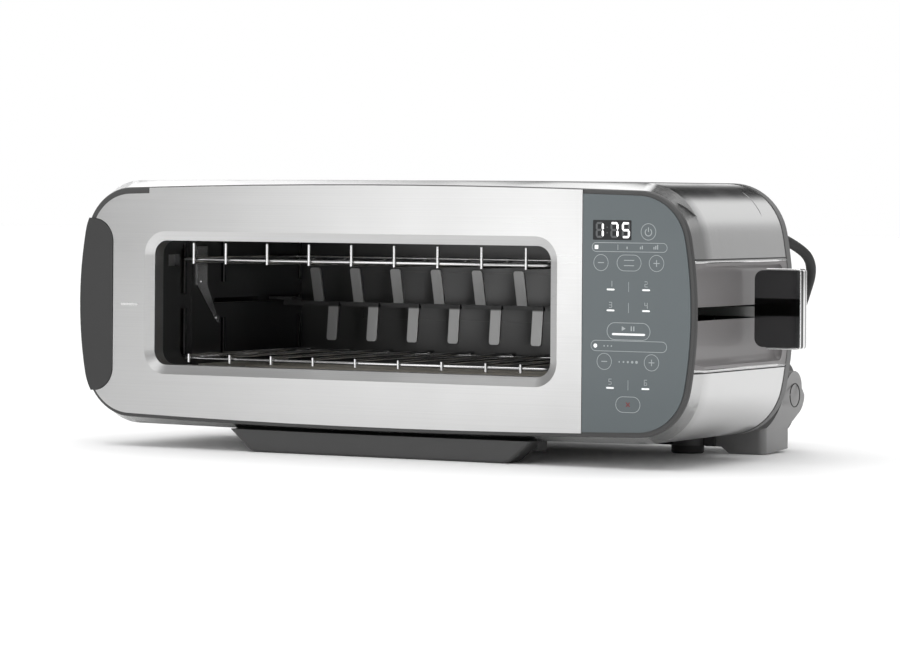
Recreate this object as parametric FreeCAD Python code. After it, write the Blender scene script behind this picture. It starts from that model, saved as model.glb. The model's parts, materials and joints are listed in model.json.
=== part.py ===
import FreeCAD, Part
import math
import os
from FreeCAD import Vector

# Countertop toaster grill that lies flat to grill and flips up on a rear hinge to toast.
# Millimetres. X to the right, Y towards the back, Z up, seen from the front.
# Drawing frame: X 0 is the middle of the housing, Y 0 the front face, Z 0 the counter.
# The finished parts are moved so that the origin is the middle of the front foot's underside.

# How far a cutter or a blank reaches past the piece that it makes
PAST = 20.0
FAR = 400.0

# Front outline: four shallow crowned sides joined by round corners
HALF_WIDTH = 237.5
HALF_HEIGHT = 83.0
UNDERSIDE_Z = 17.0
MID_Z = UNDERSIDE_Z + HALF_HEIGHT
CROWN_RADIUS = 6500.0
SIDE_RADIUS = 270.0
CORNER_RADIUS = 38.0

# Front frame and fascia
BEZEL_DEPTH = 3.0
BEZEL_GROW = -0.8
BEZEL_ROUNDING = ((0.0, -1.6), (0.3, -1.2), (0.9, -0.9), (BEZEL_DEPTH, BEZEL_GROW))
BEZEL_BAND = 3.4
FASCIA_THICK = 0.8
CONTROL_WIDTH = 81.9
SEAM_X = HALF_WIDTH - CONTROL_WIDTH
SEAM_GAP = 0.4
GRIP_REACH = 27.5
GRIP_EDGE_X = GRIP_REACH - HALF_WIDTH
GRIP_Z = MID_Z - 2.1
GRIP_HALF_HEIGHT = 60.5
GRIP_TAPER = 3.0
GRIP_CORNER = 16.0
GRIP_PROUD = 1.2
TOP_STEP_REACH = 57.5
TOP_STEP_X = TOP_STEP_REACH - HALF_WIDTH
TOP_STEP_BAND = 5.4
TOP_BAND = 1.6
SIDE_BAND = 4.2
FIELD_BAND = 0.4

# Board behind the control panel and its display
BOARD_SHEET = 1.6
CONTROL_BOARD_HALF = 60.0
CONTROL_BOARD_LEFT = SEAM_X + 10.0
CONTROL_BOARD_RIGHT = HALF_WIDTH - 12.0
DISPLAY_LEFT = SEAM_X + 14.0
DISPLAY_WIDTH = 36.0
DISPLAY_DEPTH = 4.4
DISPLAY_Z = MID_Z + 36.0
DISPLAY_HEIGHT = 18.0

# Mouth
MOUTH_LEFT_MARGIN = 60.3
MOUTH_RIGHT_MARGIN = 24.4
MOUTH_LEFT = MOUTH_LEFT_MARGIN - HALF_WIDTH
MOUTH_RIGHT = SEAM_X - MOUTH_RIGHT_MARGIN
MOUTH_X = (MOUTH_LEFT + MOUTH_RIGHT) / 2
MOUTH_WIDTH = MOUTH_RIGHT - MOUTH_LEFT
MOUTH_HEIGHT = 85.5
MOUTH_CORNER = 10.0
BEVEL_WIDTH = 6.3
BEVEL_DEPTH = 3.2
RETURN_DEPTH = 13.0
COLLAR_STEP = 1.5
COLLAR_BACK = 37.0
WINDOW_FRONT = 21.5
WINDOW_BACK = 35.0
WINDOW_Z = MID_Z + 24.7
WINDOW_HEIGHT = 8.0

# Heating cavity
CAVITY_Z = MID_Z
CAVITY_BEYOND_MOUTH = 2.8
CAVITY_HALF_WIDTH = MOUTH_WIDTH / 2 + CAVITY_BEYOND_MOUTH
CAVITY_HALF_HEIGHT = 62.0
CAVITY_SHOULDER = 2.0
SHOULDER_BACK = 54.5
CAVITY_BACK = 201.0
SHEET = 1.0
FRAME_SHEET = 1.5

# Pressed fields and lugs on the cavity's back wall
PAD_HALF_WIDTH = 102.0
PAD_TOP_Z = CAVITY_Z + 19.5
PAD_GROOVE_Z = CAVITY_Z - 15.0
PAD_GROOVE = 1.0
PAD_BOTTOM_Z = CAVITY_Z - 31.7
PAD_SPREAD = 17.0
PAD_SPREAD_Z = CAVITY_Z - 2.0
PAD_STEP = 2.0
PAD_RISE = 1.2
PAD_CORNER = 8.0
PAD_SPREAD_CORNER = 6.0
PAD_WIDE_CORNER = 22.0
LUGS = 7
LUG_FIRST = -126.3
LUG_PITCH = 35.0
LUG_LENGTH = 19.6
LUG_Z = CAVITY_Z - 40.6
LUG_HEIGHT = 1.6
LUG_RISE = 1.0

# Strap on the cavity's left wall: y, and z above the cavity's middle
STRAP_OUTLINE = ((58.1, 38.0), (71.2, 38.0), (71.8, 10.6), (87.9, -16.7), (83.8, -15.4), (59.0, 10.8))
STRAP_RIVETS = ((65.0, 13.5), (84.6, -12.8))
STRAP_RIVET_RADIUS = 1.6
STRAP_SHEET = 0.8

# Outer skin, which flares out behind the front frame and is flatter on top
SKIN_SHEET = 0.8
SKIN_GROW = 2.0
SKIN_CROWN = 20000.0
FLARE_BACK = 12.0
RIM_FRONT = 137.0
RIM_BACK = 146.0
RIM_GROW = SKIN_GROW + 0.4
RIM_WALL = 12.0
RIM_EDGE = 2.4
SIDE_PANEL_Z = MID_Z - 1.0
SIDE_PANEL_HALF = 35.0
SIDE_RECESS_HALF = 32.0
SIDE_RECESS_DEPTH = 6.0
SIDE_RECESS_BACK = 129.0
SIDE_RECESS_CORNER = 5.0
SIDE_PANEL_WALL = 2.5
SKIN_GAP = 0.3

# Rear cover
REAR_WALL = 2.5
REAR_ROOM = 1.5
REAR_HALF_WIDTH = CAVITY_HALF_WIDTH - MOUTH_X + SHEET + FRAME_SHEET + REAR_WALL + REAR_ROOM
REAR_BOTTOM = UNDERSIDE_Z + 10.0
REAR_TOP = MID_Z + HALF_HEIGHT - 11.0
REAR_BACK = 243.0
REAR_CORNER = 12.0
REAR_EDGE = 6.0
FLANGE_LAP = 6.0
VENT_INSET = 91.5
VENTS = 7
VENT_PITCH = 9.0
VENT_HEIGHT = 3.0
SCREW_OUT = 14.0
SCREW_REACH = 30.0
SCREW_RADIUS = 3.5
SCREW_HEAD = 2.0

# Hinge and stand
HINGE_FROM_BACK = 33.5
HINGE_Y = REAR_BACK - HINGE_FROM_BACK
HINGE_Z = 39.5
HINGE_PIN_RADIUS = 6.0
HINGE_CLEARANCE = 0.08
EAR_RADIUS = 26.5
EAR_BEHIND_PIN = 11.5
EAR_BELOW_PIN = 1.5
EAR_STANDOFF = 0.5
EAR_WIDTH = 10.0
EAR_BOSS_STEP = 4.0
EAR_BOSS_DEPTH = 20.0
EAR_BOSS_Z = REAR_BOTTOM + 6.0
EAR_OUTER_X = REAR_HALF_WIDTH + EAR_STANDOFF + EAR_WIDTH
ARM_GAP = 1.0
ARM_LEAN_DEG = 14.0
ARM_BASE_X = EAR_OUTER_X + 7.0
ARM_CAP_RADIUS = 8.0
CAP_SEAT_X = ARM_BASE_X + 2.0
CAP_GAP = 1.0
BLOCK_FRONT = -33.5
BLOCK_BACK = 5.5
BLOCK_HEIGHT = 17.0
BLOCK_INNER_X = EAR_OUTER_X - 29.0
BLOCK_WALL = 4.5
BLOCK_CORNER = 5.0
BLOCK_HEEL = 2.5
BAR_FRONT_Y = HINGE_Y - 36.5
BAR_BACK_Y = HINGE_Y - 23.5
BAR_BOTTOM_Z = 4.5
BAR_TOP_Z = 12.0
BAR_EDGE = 2.0
BAR_WALL = 3.0
BAR_SOLID_END = 40.0
STAND_FOOT_X = BLOCK_INNER_X - 18.0
STAND_FOOT_Y = HINGE_Y - 40.5
STAND_FOOT_RADIUS = 11.3
STAND_FOOT_HEIGHT = 5.5
FOOT_ROOM = 1.0
FOOT_BOSS_STEP = 0.8
REAR_FOOT_RADIUS = 9.0
REAR_FOOT_INSET = 30.0
REAR_FOOT_RISE = 34.0
FOOT_EDGE = 1.0
EAR_EDGE = 1.6

# The arm's side outline above its block, back and up from the hinge pin
ARM_NECK = ((-20.5, -14.5), (-14.5, -3.0), (-14.0, 11.0))
ARM_CROWN = ((-10.5, 15.5), (-4.5, 16.9), (5.0, 13.4), (13.5, 4.5))
ARM_HEEL = ((20.0, 0.0), (22.3, -6.5), (19.5, -12.5))

# The bracket's low front wall, from its inner end, from the bar's top and from the arm
TOE_START = 4.0
TOE_END = 10.0
WALL_RISE = 12.0
WALL_SWEEP = 8.0
WALL_STEP = 4.0
WALL_HOLLOW = 12.0
WALL_EDGE = 1.0
BASE_START = 12.0
BASE_DEPTH = 12.0

# Front foot, which is also the handle for flipping
FOOT_SIDE_REACH = 121.2
FOOT_TOP_HALF = HALF_WIDTH - FOOT_SIDE_REACH
FOOT_BOTTOM_HALF = FOOT_TOP_HALF - 17.3
FOOT_INTO = 12.0
FOOT_FRONT_Y = 4.0
FOOT_BACK_Y = 20.0
FOOT_CORNER = 12.0
FOOT_WALL = 3.0
FOOT_SEAT_GAP = 0.2
FOOT_FRONT_EDGE = 2.0
BRACKET_INSET = 3.3
BRACKET_DEPTH = 13.0
BRACKET_HEIGHT = 12.0
BRACKET_Z = UNDERSIDE_Z - SKIN_GROW - 7.0

# Wire guards
GRID_Z = MID_Z - 4.4
GUARD_WIRES = 9
GUARD_LEFT_SPACE = 24.6
GUARD_RIGHT_SPACE = 29.4
GUARD_SHORT_PITCH = 26.2
GUARD_SPAN = 2 * CAVITY_HALF_WIDTH - GUARD_LEFT_SPACE - GUARD_RIGHT_SPACE
GUARD_PITCH = (GUARD_SPAN - GUARD_SHORT_PITCH) / (GUARD_WIRES - 2)
UPPER_GUARD_LEFT_X = MOUTH_X - CAVITY_HALF_WIDTH + GUARD_LEFT_SPACE
LOWER_GUARD_LEFT_X = UPPER_GUARD_LEFT_X - 3.5
GUARD_REACH = 34.1
GUARD_BAR_RADIUS = 1.1
GUARD_WIRE_RADIUS = 0.95
GUARD_FRONT_Y = 20.0
GUARD_SIDE_INSET = 9.0
GUARD_HOOK_Y = 45.5
GUARD_PIN_Y = 94.0
GUARD_END_Y = 197.5
GUARD_BEND = 4.0
GUARD_BOW = 5.0
GUARD_JOINT = 8.0
GUARD_STUB = 8.0
GUARD_TAIL = 4.0
GUARD_BEYOND = 0.5
GUARD_BACK_Y = 178.0
UPPER_FLARE_Z = GRID_Z + 45.4
LOWER_FLARE_Z = GRID_Z - 36.8
SLOT_CUT = 7.0
HOOK_SLOT = (41.5, 49.5, 5.0, 40.0)
PIN_SLOT = (91.0, 97.0, 12.5, 41.0)
END_SLOT = (194.5, 199.5, 12.5, 41.0)

# Bread carriage and lever
CARRIAGE_Y = 172.0
RACK_LOW = GRID_Z - 1.2
RACK_HIGH = RACK_LOW + 3.2
RACK_SHEET = 1.5
RACK_FLANGE = 6.0
RACK_NOTCH = 2.4
LEVER_Z = MID_Z + 0.5
TAB_Z = LEVER_Z - 0.8
TAB_THICK = 2.0
TAB_REACH = 14.5
TAB_FRONT = 12.0
TAB_BEYOND_WALL = 0.7
CARRIAGE_SIDE_GAP = 1.5
WALL_SLOT_FRONT = 82.0
FINGER_WIDTH = 8.3
FINGER_SHEET = 1.5
UPPER_FINGER_X = UPPER_GUARD_LEFT_X + 7.3
LOWER_FINGER_X = LOWER_GUARD_LEFT_X + 24.2
FINGER_TIP_RADIUS = 2.0
UPPER_FINGERS = 8
LOWER_FINGERS = 7
FINGER_REACH = 24.4
UPPER_TIP_Z = RACK_HIGH + FINGER_REACH
LOWER_TIP_Z = RACK_LOW - FINGER_REACH
FINGER_HANG = 0.3
UPPER_LEAN = 6.0
LOWER_LEAN = 3.0
LEVER_SLOT_HEIGHT = 8.7
LEVER_ARM_HEIGHT = 6.4
LEVER_ARM_DEPTH = 6.0
LEVER_ARM_Y = 86.0
WALL_SLOT_HEIGHT = 3.4
LEVER_SLOT_FRONT = 9.5
LEVER_SLOT_BACK = 100.0
ARM_STRIP = 2.0
PADDLE_INNER_X = HALF_WIDTH + 2.1
PADDLE_OUTER_X = HALF_WIDTH + 34.5
PADDLE_THICK = 7.6
PADDLE_HALF_HEIGHT = 25.1
PADDLE_RISE = 2.2
PADDLE_CORNER = 6.0
PADDLE_OUTER_CORNER = 1.0
TRIM_SHEET = 1.2
TRIM_PROUD = 0.8
TRIM_CORNER = 2.5
TRIM_START_X = HALF_WIDTH + 10.5
ROD_RADIUS = 2.5
ROD_CLEARANCE = 0.08
ROD_X = MOUTH_X + CAVITY_HALF_WIDTH + 13.0
ROD_Z = MID_Z - 16.0
ROD_EAR = 8.0
ROD_EAR_Y = SHOULDER_BACK + 8.0
ROD_FRONT_Y = ROD_EAR_Y - 2.0
FRAME_MARGIN = 5.0
FRAME_REAR_HALF = 45.0
SLIDER_LENGTH = 18.0
SLIDER_RADIUS = 6.0

# Magnet behind the slider, of three limbs
MAGNET_GAP = 0.5
MAGNET_HALF = 7.0
MAGNET_LIMB = 3.0
MAGNET_GROOVE = 5.0

# Power board
BOARD_INSET = 25.5
BOARD_WIDTH = 62.0
BOARD_FRONT = 40.0
BOARD_BACK = 125.0
BOARD_RISE = 9.0
POST_INSET = 5.0
POST_PITCH = 50.0
POST_RADIUS = 3.0

# What stands on the power board: left, from its right edge, front, width, depth and height
RELAY = (52.0, 60.0, 20.0, 30.0, 16.4)
CHOKE = (25.0, 60.0, 16.0, 22.0, 13.4)

# Heaters and the troughed reflectors behind them
HEATER_RADIUS = 3.4
HEATER_ROWS = (72.0, 118.0, 164.0)
HEATER_RISE = 50.0
HEATER_SEAT = 3.0
HOLDER_WIDTH = 5.0
HOLDER_END = 10.0
HOLDER_HALF = 5.5
REFLECTOR_GAP = 1.0
REFLECTOR_END = 16.0
REFLECTOR_SHEET = 0.6
TROUGH_HALF = 9.0
TROUGH_FLOOR_HALF = 5.0
TROUGH_DEPTH = 4.5

# Crumb tray
TRAY_FRONT_Y = CAVITY_BACK + 4.0
TRAY_DEPTH = 7.0
TRAY_HALF_WIDTH = REAR_HALF_WIDTH - 46.5
TRAY_BOTTOM_Z = REAR_BOTTOM + 17.0
TRAY_SHEET = 1.0
TRAY_GAP = 0.6
TRAY_SEAT_GAP = 0.4
TRAY_HEADER = 5.0
TRAY_LIP = 7.0
TRAY_LIP_REACH = 3.0
TRAY_LIP_SHEET = 2.5
TRAY_PULL_HALF = 35.0
RAIL_GAP = 0.3
RAIL_LAP = 4.0
RAIL_WALL = 6.0
RAIL_EDGE = 3.0

# Mains cord
CORD_RADIUS = 3.5
CORD_CORNER = Vector(HALF_WIDTH, REAR_BACK, 0)
GLAND_PLACE = Vector(HALF_WIDTH - 32.0, RIM_BACK + REAR_WALL, MID_Z + 55.5)
GLAND_RADIUS = 9.0
GLAND_LENGTH = 4.0
GLAND_SEAT = 6.0
RELIEF_LENGTH = 30.0
RELIEF_BASE_RADIUS = 7.0
RELIEF_TIP_RADIUS = 4.4

# The free cord's points, from the counter under the housing's rear right-hand corner
CORD_ROUTE = (
    (-30.2, -37.0, 146.0),
    (-24.5, -3.5, 131.0),
    (-44.5, 20.0, 101.0),
    (-67.5, 39.0, 62.0),
    (-82.5, 54.0, 26.0),
    (-106.5, 64.0, 5.5),
    (-147.5, 78.5, 3.6),
)
CORD_FLOOR_Z = 3.6
CORD_CUT_SHARE = 0.45
COIL_CENTRE = (HALF_WIDTH - 257.5, REAR_BACK + 79.0)
COIL_RADIUS = 43.0
COIL_PITCH = 7.8
COIL_TURNS = 2.25
COIL_START_DEG = -62.0
COIL_CLIMB = 7.8
COIL_APPROACH = 43.0
COIL_ARCS = 4
TIE_WIDTH = 8.0
TIE_SHEET = 1.2
TIE_INNER_RADIUS = 33.3
TIE_OUTER_RADIUS = 43.1
TIE_GAP = 0.4
TIE_BOTTOM_Z = 0.2
TIE_EDGE = 1.1
TAIL_LENGTH = 38.0

# Plug and its pins, from the cord's entry
PLUG_WIDTH = 50.0
PLUG_LENGTH = 50.0
PLUG_THICK = 20.0
PLUG_NECK = 18.0
PLUG_NECK_Y = 8.0
PLUG_SHOULDER_Y = 22.0
PLUG_CORNERS = (3.0, 3.0, 8.0, 9.0, 9.0, 8.0)
PLUG_EDGE = 3.0
BOOT_SPREAD = 1.0
BOOT_RADIUS = 7.0
BOOT_LENGTH = 9.0
PIN_LENGTH = 17.7
PIN_WIDTH = 6.3
PIN_DEPTH = 4.0
PIN_X = 7.9
PIN_Y = 21.0
EARTH_PIN_WIDTH = 4.0
EARTH_PIN_DEPTH = 8.0
EARTH_PIN_Y = 37.0
EARTH_PIN_EXTRA = 5.0


# Solids from boxes, rods and extruded outlines
def box(x0, x1, y0, y1, z0, z1):
    low = Vector(min(x0, x1), min(y0, y1), min(z0, z1))
    return Part.makeBox(abs(x1 - x0), abs(y1 - y0), abs(z1 - z0), low)


def rod(start, end, radius):
    return Part.makeCylinder(radius, (end - start).Length, start, end - start)


def along_y(wire, depth):
    return Part.Face(wire).extrude(Vector(0, depth, 0))


def along_x(wire, depth):
    return Part.Face(wire).extrude(Vector(depth, 0, 0))


def along_z(wire, depth):
    return Part.Face(wire).extrude(Vector(0, 0, depth))


def arc(a, b, c):
    return Part.Arc(a, b, c).toShape()


def line(a, b):
    return Part.LineSegment(a, b).toShape()


def round_polygon(points, radii):
    """Closed flat wire through points, each corner rounded by its own radius (0 keeps it sharp)."""
    count = len(points)
    starts, ends, mids = [], [], []
    for i, point in enumerate(points):
        before = (points[i - 1] - point).normalize()
        after = (points[(i + 1) % count] - point).normalize()
        if radii[i] <= 0:
            starts.append(point)
            ends.append(point)
            mids.append(None)
            continue
        half = math.acos(max(-1.0, min(1.0, before.dot(after)))) / 2
        cut = radii[i] / math.tan(half)
        bisector = (before + after).normalize()
        starts.append(point + before * cut)
        ends.append(point + after * cut)
        mids.append(point + bisector * (radii[i] / math.sin(half) - radii[i]))
    edges = []
    for i in range(count):
        if mids[i] is not None:
            edges.append(arc(starts[i], mids[i], ends[i]))
        following = starts[(i + 1) % count]
        if (following - ends[i]).Length > 1e-6:
            edges.append(line(ends[i], following))
    return Part.Wire(edges)


def round_rect(y, x0, x1, z0, z1, radius):
    """Rounded rectangle in the XZ plane at depth y."""
    corners = [Vector(x0, y, z0), Vector(x1, y, z0), Vector(x1, y, z1), Vector(x0, y, z1)]
    return round_polygon(corners, [radius] * 4)


def mirrored(shape):
    return shape.mirror(Vector(0, 0, 0), Vector(1, 0, 0))


def group(solids):
    return Part.makeCompound(solids)


# The crowned outline, grown or shrunk by a parallel offset
def corner_centre(crown):
    """Centre of the top right corner arc, about the outline's middle."""
    top_z = HALF_HEIGHT - crown
    side_x = HALF_WIDTH - SIDE_RADIUS
    reach_top = crown - CORNER_RADIUS
    reach_side = SIDE_RADIUS - CORNER_RADIUS
    span = math.hypot(side_x, top_z)
    along = (reach_top**2 - reach_side**2 + span**2) / (2 * span)
    across = math.sqrt(reach_top**2 - along**2)
    ux, uz = side_x / span, -top_z / span
    return ux * along + uz * across, top_z + uz * along - ux * across


def outline(y, grow=0.0, crown=CROWN_RADIUS):
    """Closed wire of the body's outline at depth y, offset outwards by grow."""
    cx, cz = corner_centre(crown)
    top_z = HALF_HEIGHT - crown
    side_x = HALF_WIDTH - SIDE_RADIUS
    to_top = Vector(cx, 0, cz - top_z).normalize()
    to_side = Vector(cx - side_x, 0, cz).normalize()
    top_point = Vector(0, 0, top_z) + to_top * (crown + grow)
    side_point = Vector(side_x, 0, 0) + to_side * (SIDE_RADIUS + grow)
    corner_point = Vector(cx, 0, cz) + (to_top + to_side).normalize() * (CORNER_RADIUS + grow)

    def place(point, sx, sz):
        return Vector(sx * point.x, y, MID_Z + sz * point.z)

    apex = Vector(0, 0, HALF_HEIGHT + grow)
    end = Vector(HALF_WIDTH + grow, 0, 0)
    edges = [arc(place(top_point, -1, 1), place(apex, 1, 1), place(top_point, 1, 1))]
    edges.append(arc(place(top_point, 1, 1), place(corner_point, 1, 1), place(side_point, 1, 1)))
    edges.append(arc(place(side_point, 1, 1), place(end, 1, 1), place(side_point, 1, -1)))
    edges.append(arc(place(side_point, 1, -1), place(corner_point, 1, -1), place(top_point, 1, -1)))
    edges.append(arc(place(top_point, 1, -1), place(apex, 1, -1), place(top_point, -1, -1)))
    edges.append(arc(place(top_point, -1, -1), place(corner_point, -1, -1), place(side_point, -1, -1)))
    edges.append(arc(place(side_point, -1, -1), place(end, -1, 1), place(side_point, -1, 1)))
    edges.append(arc(place(side_point, -1, 1), place(corner_point, -1, 1), place(top_point, -1, 1)))
    return Part.Wire(edges)


def slab(y0, y1, grow=0.0, crown=CROWN_RADIUS):
    """The outline as a solid from depth y0 to y1."""
    return along_y(outline(y0, grow, crown), y1 - y0)


def skin_slab(y0, y1, inset=0.0):
    """The skin's straight form, less inset, as a solid from depth y0 to y1."""
    return slab(y0, y1, SKIN_GROW - inset, SKIN_CROWN)


def skin_form(inset, past):
    """The skin's form less inset: flared behind the front frame, then straight, and past beyond its ends."""
    front = outline(BEZEL_DEPTH, BEZEL_GROW - inset)
    back = outline(FLARE_BACK, SKIN_GROW - inset, SKIN_CROWN)
    form = Part.makeLoft([front, back], True, True)
    form = form.fuse(skin_slab(FLARE_BACK, RIM_FRONT + past, inset))
    if past > 0:
        form = form.fuse(slab(BEZEL_DEPTH - past, BEZEL_DEPTH, BEZEL_GROW - inset))
    return form.removeSplitter()


def mouth_rect(y, grow):
    half_w = MOUTH_WIDTH / 2 + grow
    half_h = MOUTH_HEIGHT / 2 + grow
    radius = MOUTH_CORNER + grow
    return round_rect(y, MOUTH_X - half_w, MOUTH_X + half_w, MID_Z - half_h, MID_Z + half_h, radius)


# Front frame, fascia, grip and control panel
def lever_slot(x0, x1, front):
    """Cutter for the lever's slot through the right side, from depth front to its rear end."""
    half = LEVER_SLOT_HEIGHT / 2
    return box(x0, x1, front, LEVER_SLOT_BACK, LEVER_Z - half, LEVER_Z + half)


def front_bezel():
    """Dark frame: round-edged plate behind the fascia, open at the mouth."""
    plate = Part.makeLoft([outline(y, grow) for y, grow in BEZEL_ROUNDING], True, True)
    return plate.cut(along_y(mouth_rect(-1, BEVEL_WIDTH), BEZEL_DEPTH + 2))


def grip_wire(y, grow):
    """Outline of the dark grip field at the left end, open towards the edge of the body."""
    right = GRIP_EDGE_X + grow
    half = GRIP_HALF_HEIGHT + grow
    left = -HALF_WIDTH - PAST
    wide, narrow = half + GRIP_TAPER, half - GRIP_TAPER
    corners = [Vector(left, y, GRIP_Z - wide), Vector(right, y, GRIP_Z - narrow)]
    corners += [Vector(right, y, GRIP_Z + narrow), Vector(left, y, GRIP_Z + wide)]
    return round_polygon(corners, [0, GRIP_CORNER + grow, GRIP_CORNER + grow, 0])


def bevel_solid(inset, depth):
    """The mouth's bevelled way in, from the fascia's face back to where its walls run straight."""
    front = mouth_rect(-FASCIA_THICK, BEVEL_WIDTH - inset)
    back = mouth_rect(BEVEL_DEPTH - FASCIA_THICK, -inset)
    straight = along_y(mouth_rect(BEVEL_DEPTH - FASCIA_THICK, -inset), depth)
    return Part.makeLoft([front, back], True, True).fuse(straight)


def fascia_face():
    """The fascia's flat face: its band of dark frame is widest at the bottom and at the top left."""
    reach = HALF_WIDTH + PAST
    face = slab(-FASCIA_THICK, 0, -BEZEL_BAND).common(box(-reach, SEAM_X, -5, 5, 0, MID_Z))
    upper = slab(-FASCIA_THICK, 0, -TOP_BAND)
    face = face.fuse(upper.common(box(TOP_STEP_X, SEAM_X, -5, 5, MID_Z, FAR)))
    left = slab(-FASCIA_THICK, 0, -TOP_STEP_BAND)
    return face.fuse(left.common(box(-reach, TOP_STEP_X, -5, 5, MID_Z, FAR)))


def front_panel():
    """Brushed steel fascia with the bevelled mouth and its return flange."""
    face = fascia_face().cut(along_y(grip_wire(-5, SEAM_GAP), 10))
    flange_depth = RETURN_DEPTH - BEVEL_DEPTH + FASCIA_THICK
    outer = bevel_solid(-FASCIA_THICK, flange_depth)
    inner = bevel_solid(0.0, flange_depth + 1)
    opening = along_y(mouth_rect(-5, BEVEL_WIDTH), 10)
    return face.cut(opening).fuse(outer.cut(inner)).removeSplitter()


def left_grip():
    return slab(-GRIP_PROUD, 0, -FIELD_BAND).common(along_y(grip_wire(-5, 0), 10))


def control_glass():
    face = slab(-FASCIA_THICK, 0, -SIDE_BAND)
    return face.common(box(SEAM_X + SEAM_GAP, HALF_WIDTH + PAST, -5, 5, 0, FAR))


def control_board():
    low, high = MID_Z - CONTROL_BOARD_HALF, MID_Z + CONTROL_BOARD_HALF
    back = BEZEL_DEPTH + BOARD_SHEET
    board = box(CONTROL_BOARD_LEFT, CONTROL_BOARD_RIGHT, BEZEL_DEPTH, back, low, high)
    right, top = DISPLAY_LEFT + DISPLAY_WIDTH, DISPLAY_Z + DISPLAY_HEIGHT
    return board.fuse(box(DISPLAY_LEFT, right, back, back + DISPLAY_DEPTH, DISPLAY_Z, top))


# Outer skin: steel top and bottom, plastic sides, rear rim
def wrap(upper):
    """Steel skin over the top, or under the bottom, down to the side panels."""
    skin = skin_form(0.0, 0).cut(skin_form(SKIN_SHEET, 1))
    reach = HALF_WIDTH + PAST
    edge = SIDE_PANEL_HALF + SKIN_GAP
    if upper:
        return skin.common(box(-reach, reach, 0, FAR, SIDE_PANEL_Z + edge, FAR))
    return skin.common(box(-reach, reach, 0, FAR, -PAST, SIDE_PANEL_Z - edge))


def side_panel(slotted):
    """Side panel with its scooped recess, drawn on the right; the slotted one has the lever's slot."""
    floor_x = HALF_WIDTH + SKIN_GROW - SIDE_RECESS_DEPTH
    inner_x = floor_x - SIDE_PANEL_WALL
    low, high = SIDE_PANEL_Z - SIDE_PANEL_HALF, SIDE_PANEL_Z + SIDE_PANEL_HALF
    panel = skin_form(0.0, 0)
    panel = panel.common(box(inner_x, HALF_WIDTH + PAST, 0, FAR, low, high))
    half = SIDE_RECESS_HALF
    outer_x = HALF_WIDTH + PAST
    corners = [Vector(floor_x, 0, SIDE_PANEL_Z - half), Vector(outer_x, 0, SIDE_PANEL_Z - half)]
    corners += [Vector(outer_x, 0, SIDE_PANEL_Z + half), Vector(floor_x, 0, SIDE_PANEL_Z + half)]
    round_wire = round_polygon(corners, [SIDE_RECESS_CORNER, 0, 0, SIDE_RECESS_CORNER])
    scoop = along_y(round_wire, SIDE_RECESS_BACK)
    back_edges = []
    for edge in scoop.Edges:
        middle = edge.CenterOfMass
        if abs(middle.y - SIDE_RECESS_BACK) < 0.1 and middle.x < outer_x - 1:
            back_edges.append(edge)
    panel = panel.cut(scoop.makeFillet(SIDE_RECESS_CORNER - 1, back_edges))
    if slotted:
        panel = panel.cut(lever_slot(inner_x - 5, outer_x, LEVER_SLOT_FRONT))
    return panel


def left_side_panel():
    return mirrored(side_panel(False))


def rear_rim():
    ring = slab(RIM_FRONT, RIM_BACK, RIM_GROW, SKIN_CROWN)
    edges = [e for e in ring.Edges if abs(e.CenterOfMass.y - RIM_BACK) < 0.01]
    ring = ring.makeChamfer(RIM_EDGE, edges)
    return ring.cut(slab(RIM_FRONT - 1, RIM_BACK + 1, RIM_GROW - RIM_WALL, SKIN_CROWN))


# Rear cover with its tray slot
def rear_block(grow, y0, y1):
    half = REAR_HALF_WIDTH + grow
    wire = round_rect(y0, -half, half, REAR_BOTTOM - grow, REAR_TOP + grow, REAR_CORNER + grow)
    return along_y(wire, y1 - y0)


def rear_cover():
    """Deep tub behind the rim, open to the front, with a wide flange against the rim."""
    shell = rear_block(0, RIM_BACK, REAR_BACK)
    edges = [e for e in shell.Edges if abs(e.CenterOfMass.y - REAR_BACK) < 0.01]
    shell = shell.makeFillet(REAR_EDGE, edges)
    shell = shell.cut(rear_block(-REAR_WALL, RIM_BACK - 1, REAR_BACK - REAR_WALL))
    flange = slab(RIM_BACK, RIM_BACK + REAR_WALL, RIM_GROW - RIM_WALL + FLANGE_LAP, SKIN_CROWN)
    flange = flange.cut(rear_block(-REAR_WALL, RIM_BACK - 1, RIM_BACK + 5))
    shell = shell.fuse(flange)
    tray_half = TRAY_HALF_WIDTH + TRAY_GAP
    tray_back = TRAY_FRONT_Y + TRAY_DEPTH + TRAY_GAP
    shell = shell.cut(box(-tray_half, tray_half, TRAY_FRONT_Y - TRAY_GAP, tray_back, MID_Z, REAR_TOP + 5))
    vent_half = REAR_HALF_WIDTH - VENT_INSET
    for k in range(VENTS):
        z = MID_Z + VENT_PITCH * (k - (VENTS - 1) / 2) - VENT_HEIGHT / 2
        shell = shell.cut(box(-vent_half, vent_half, REAR_BACK - 4, REAR_BACK + 1, z, z + VENT_HEIGHT))
    return shell.removeSplitter()


def tray_rails():
    """Two channels that carry the crumb tray's side walls inside the rear cover."""
    rails = []
    slot_front, slot_back = TRAY_FRONT_Y - RAIL_GAP, TRAY_FRONT_Y + TRAY_DEPTH + RAIL_GAP
    back, low = slot_back + RAIL_EDGE, TRAY_BOTTOM_Z - RAIL_EDGE
    for side in (-1, 1):
        inner = side * (TRAY_HALF_WIDTH - RAIL_LAP)
        outer = side * (TRAY_HALF_WIDTH + RAIL_WALL)
        rail = box(inner, outer, CAVITY_BACK, back, low, REAR_TOP - REAR_WALL)
        slot_x = side * (TRAY_HALF_WIDTH + RAIL_GAP)
        slot = box(inner - side, slot_x, slot_front, slot_back, TRAY_BOTTOM_Z - RAIL_GAP, FAR)
        rails.append(rail.cut(slot))
    return group(rails)


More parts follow.
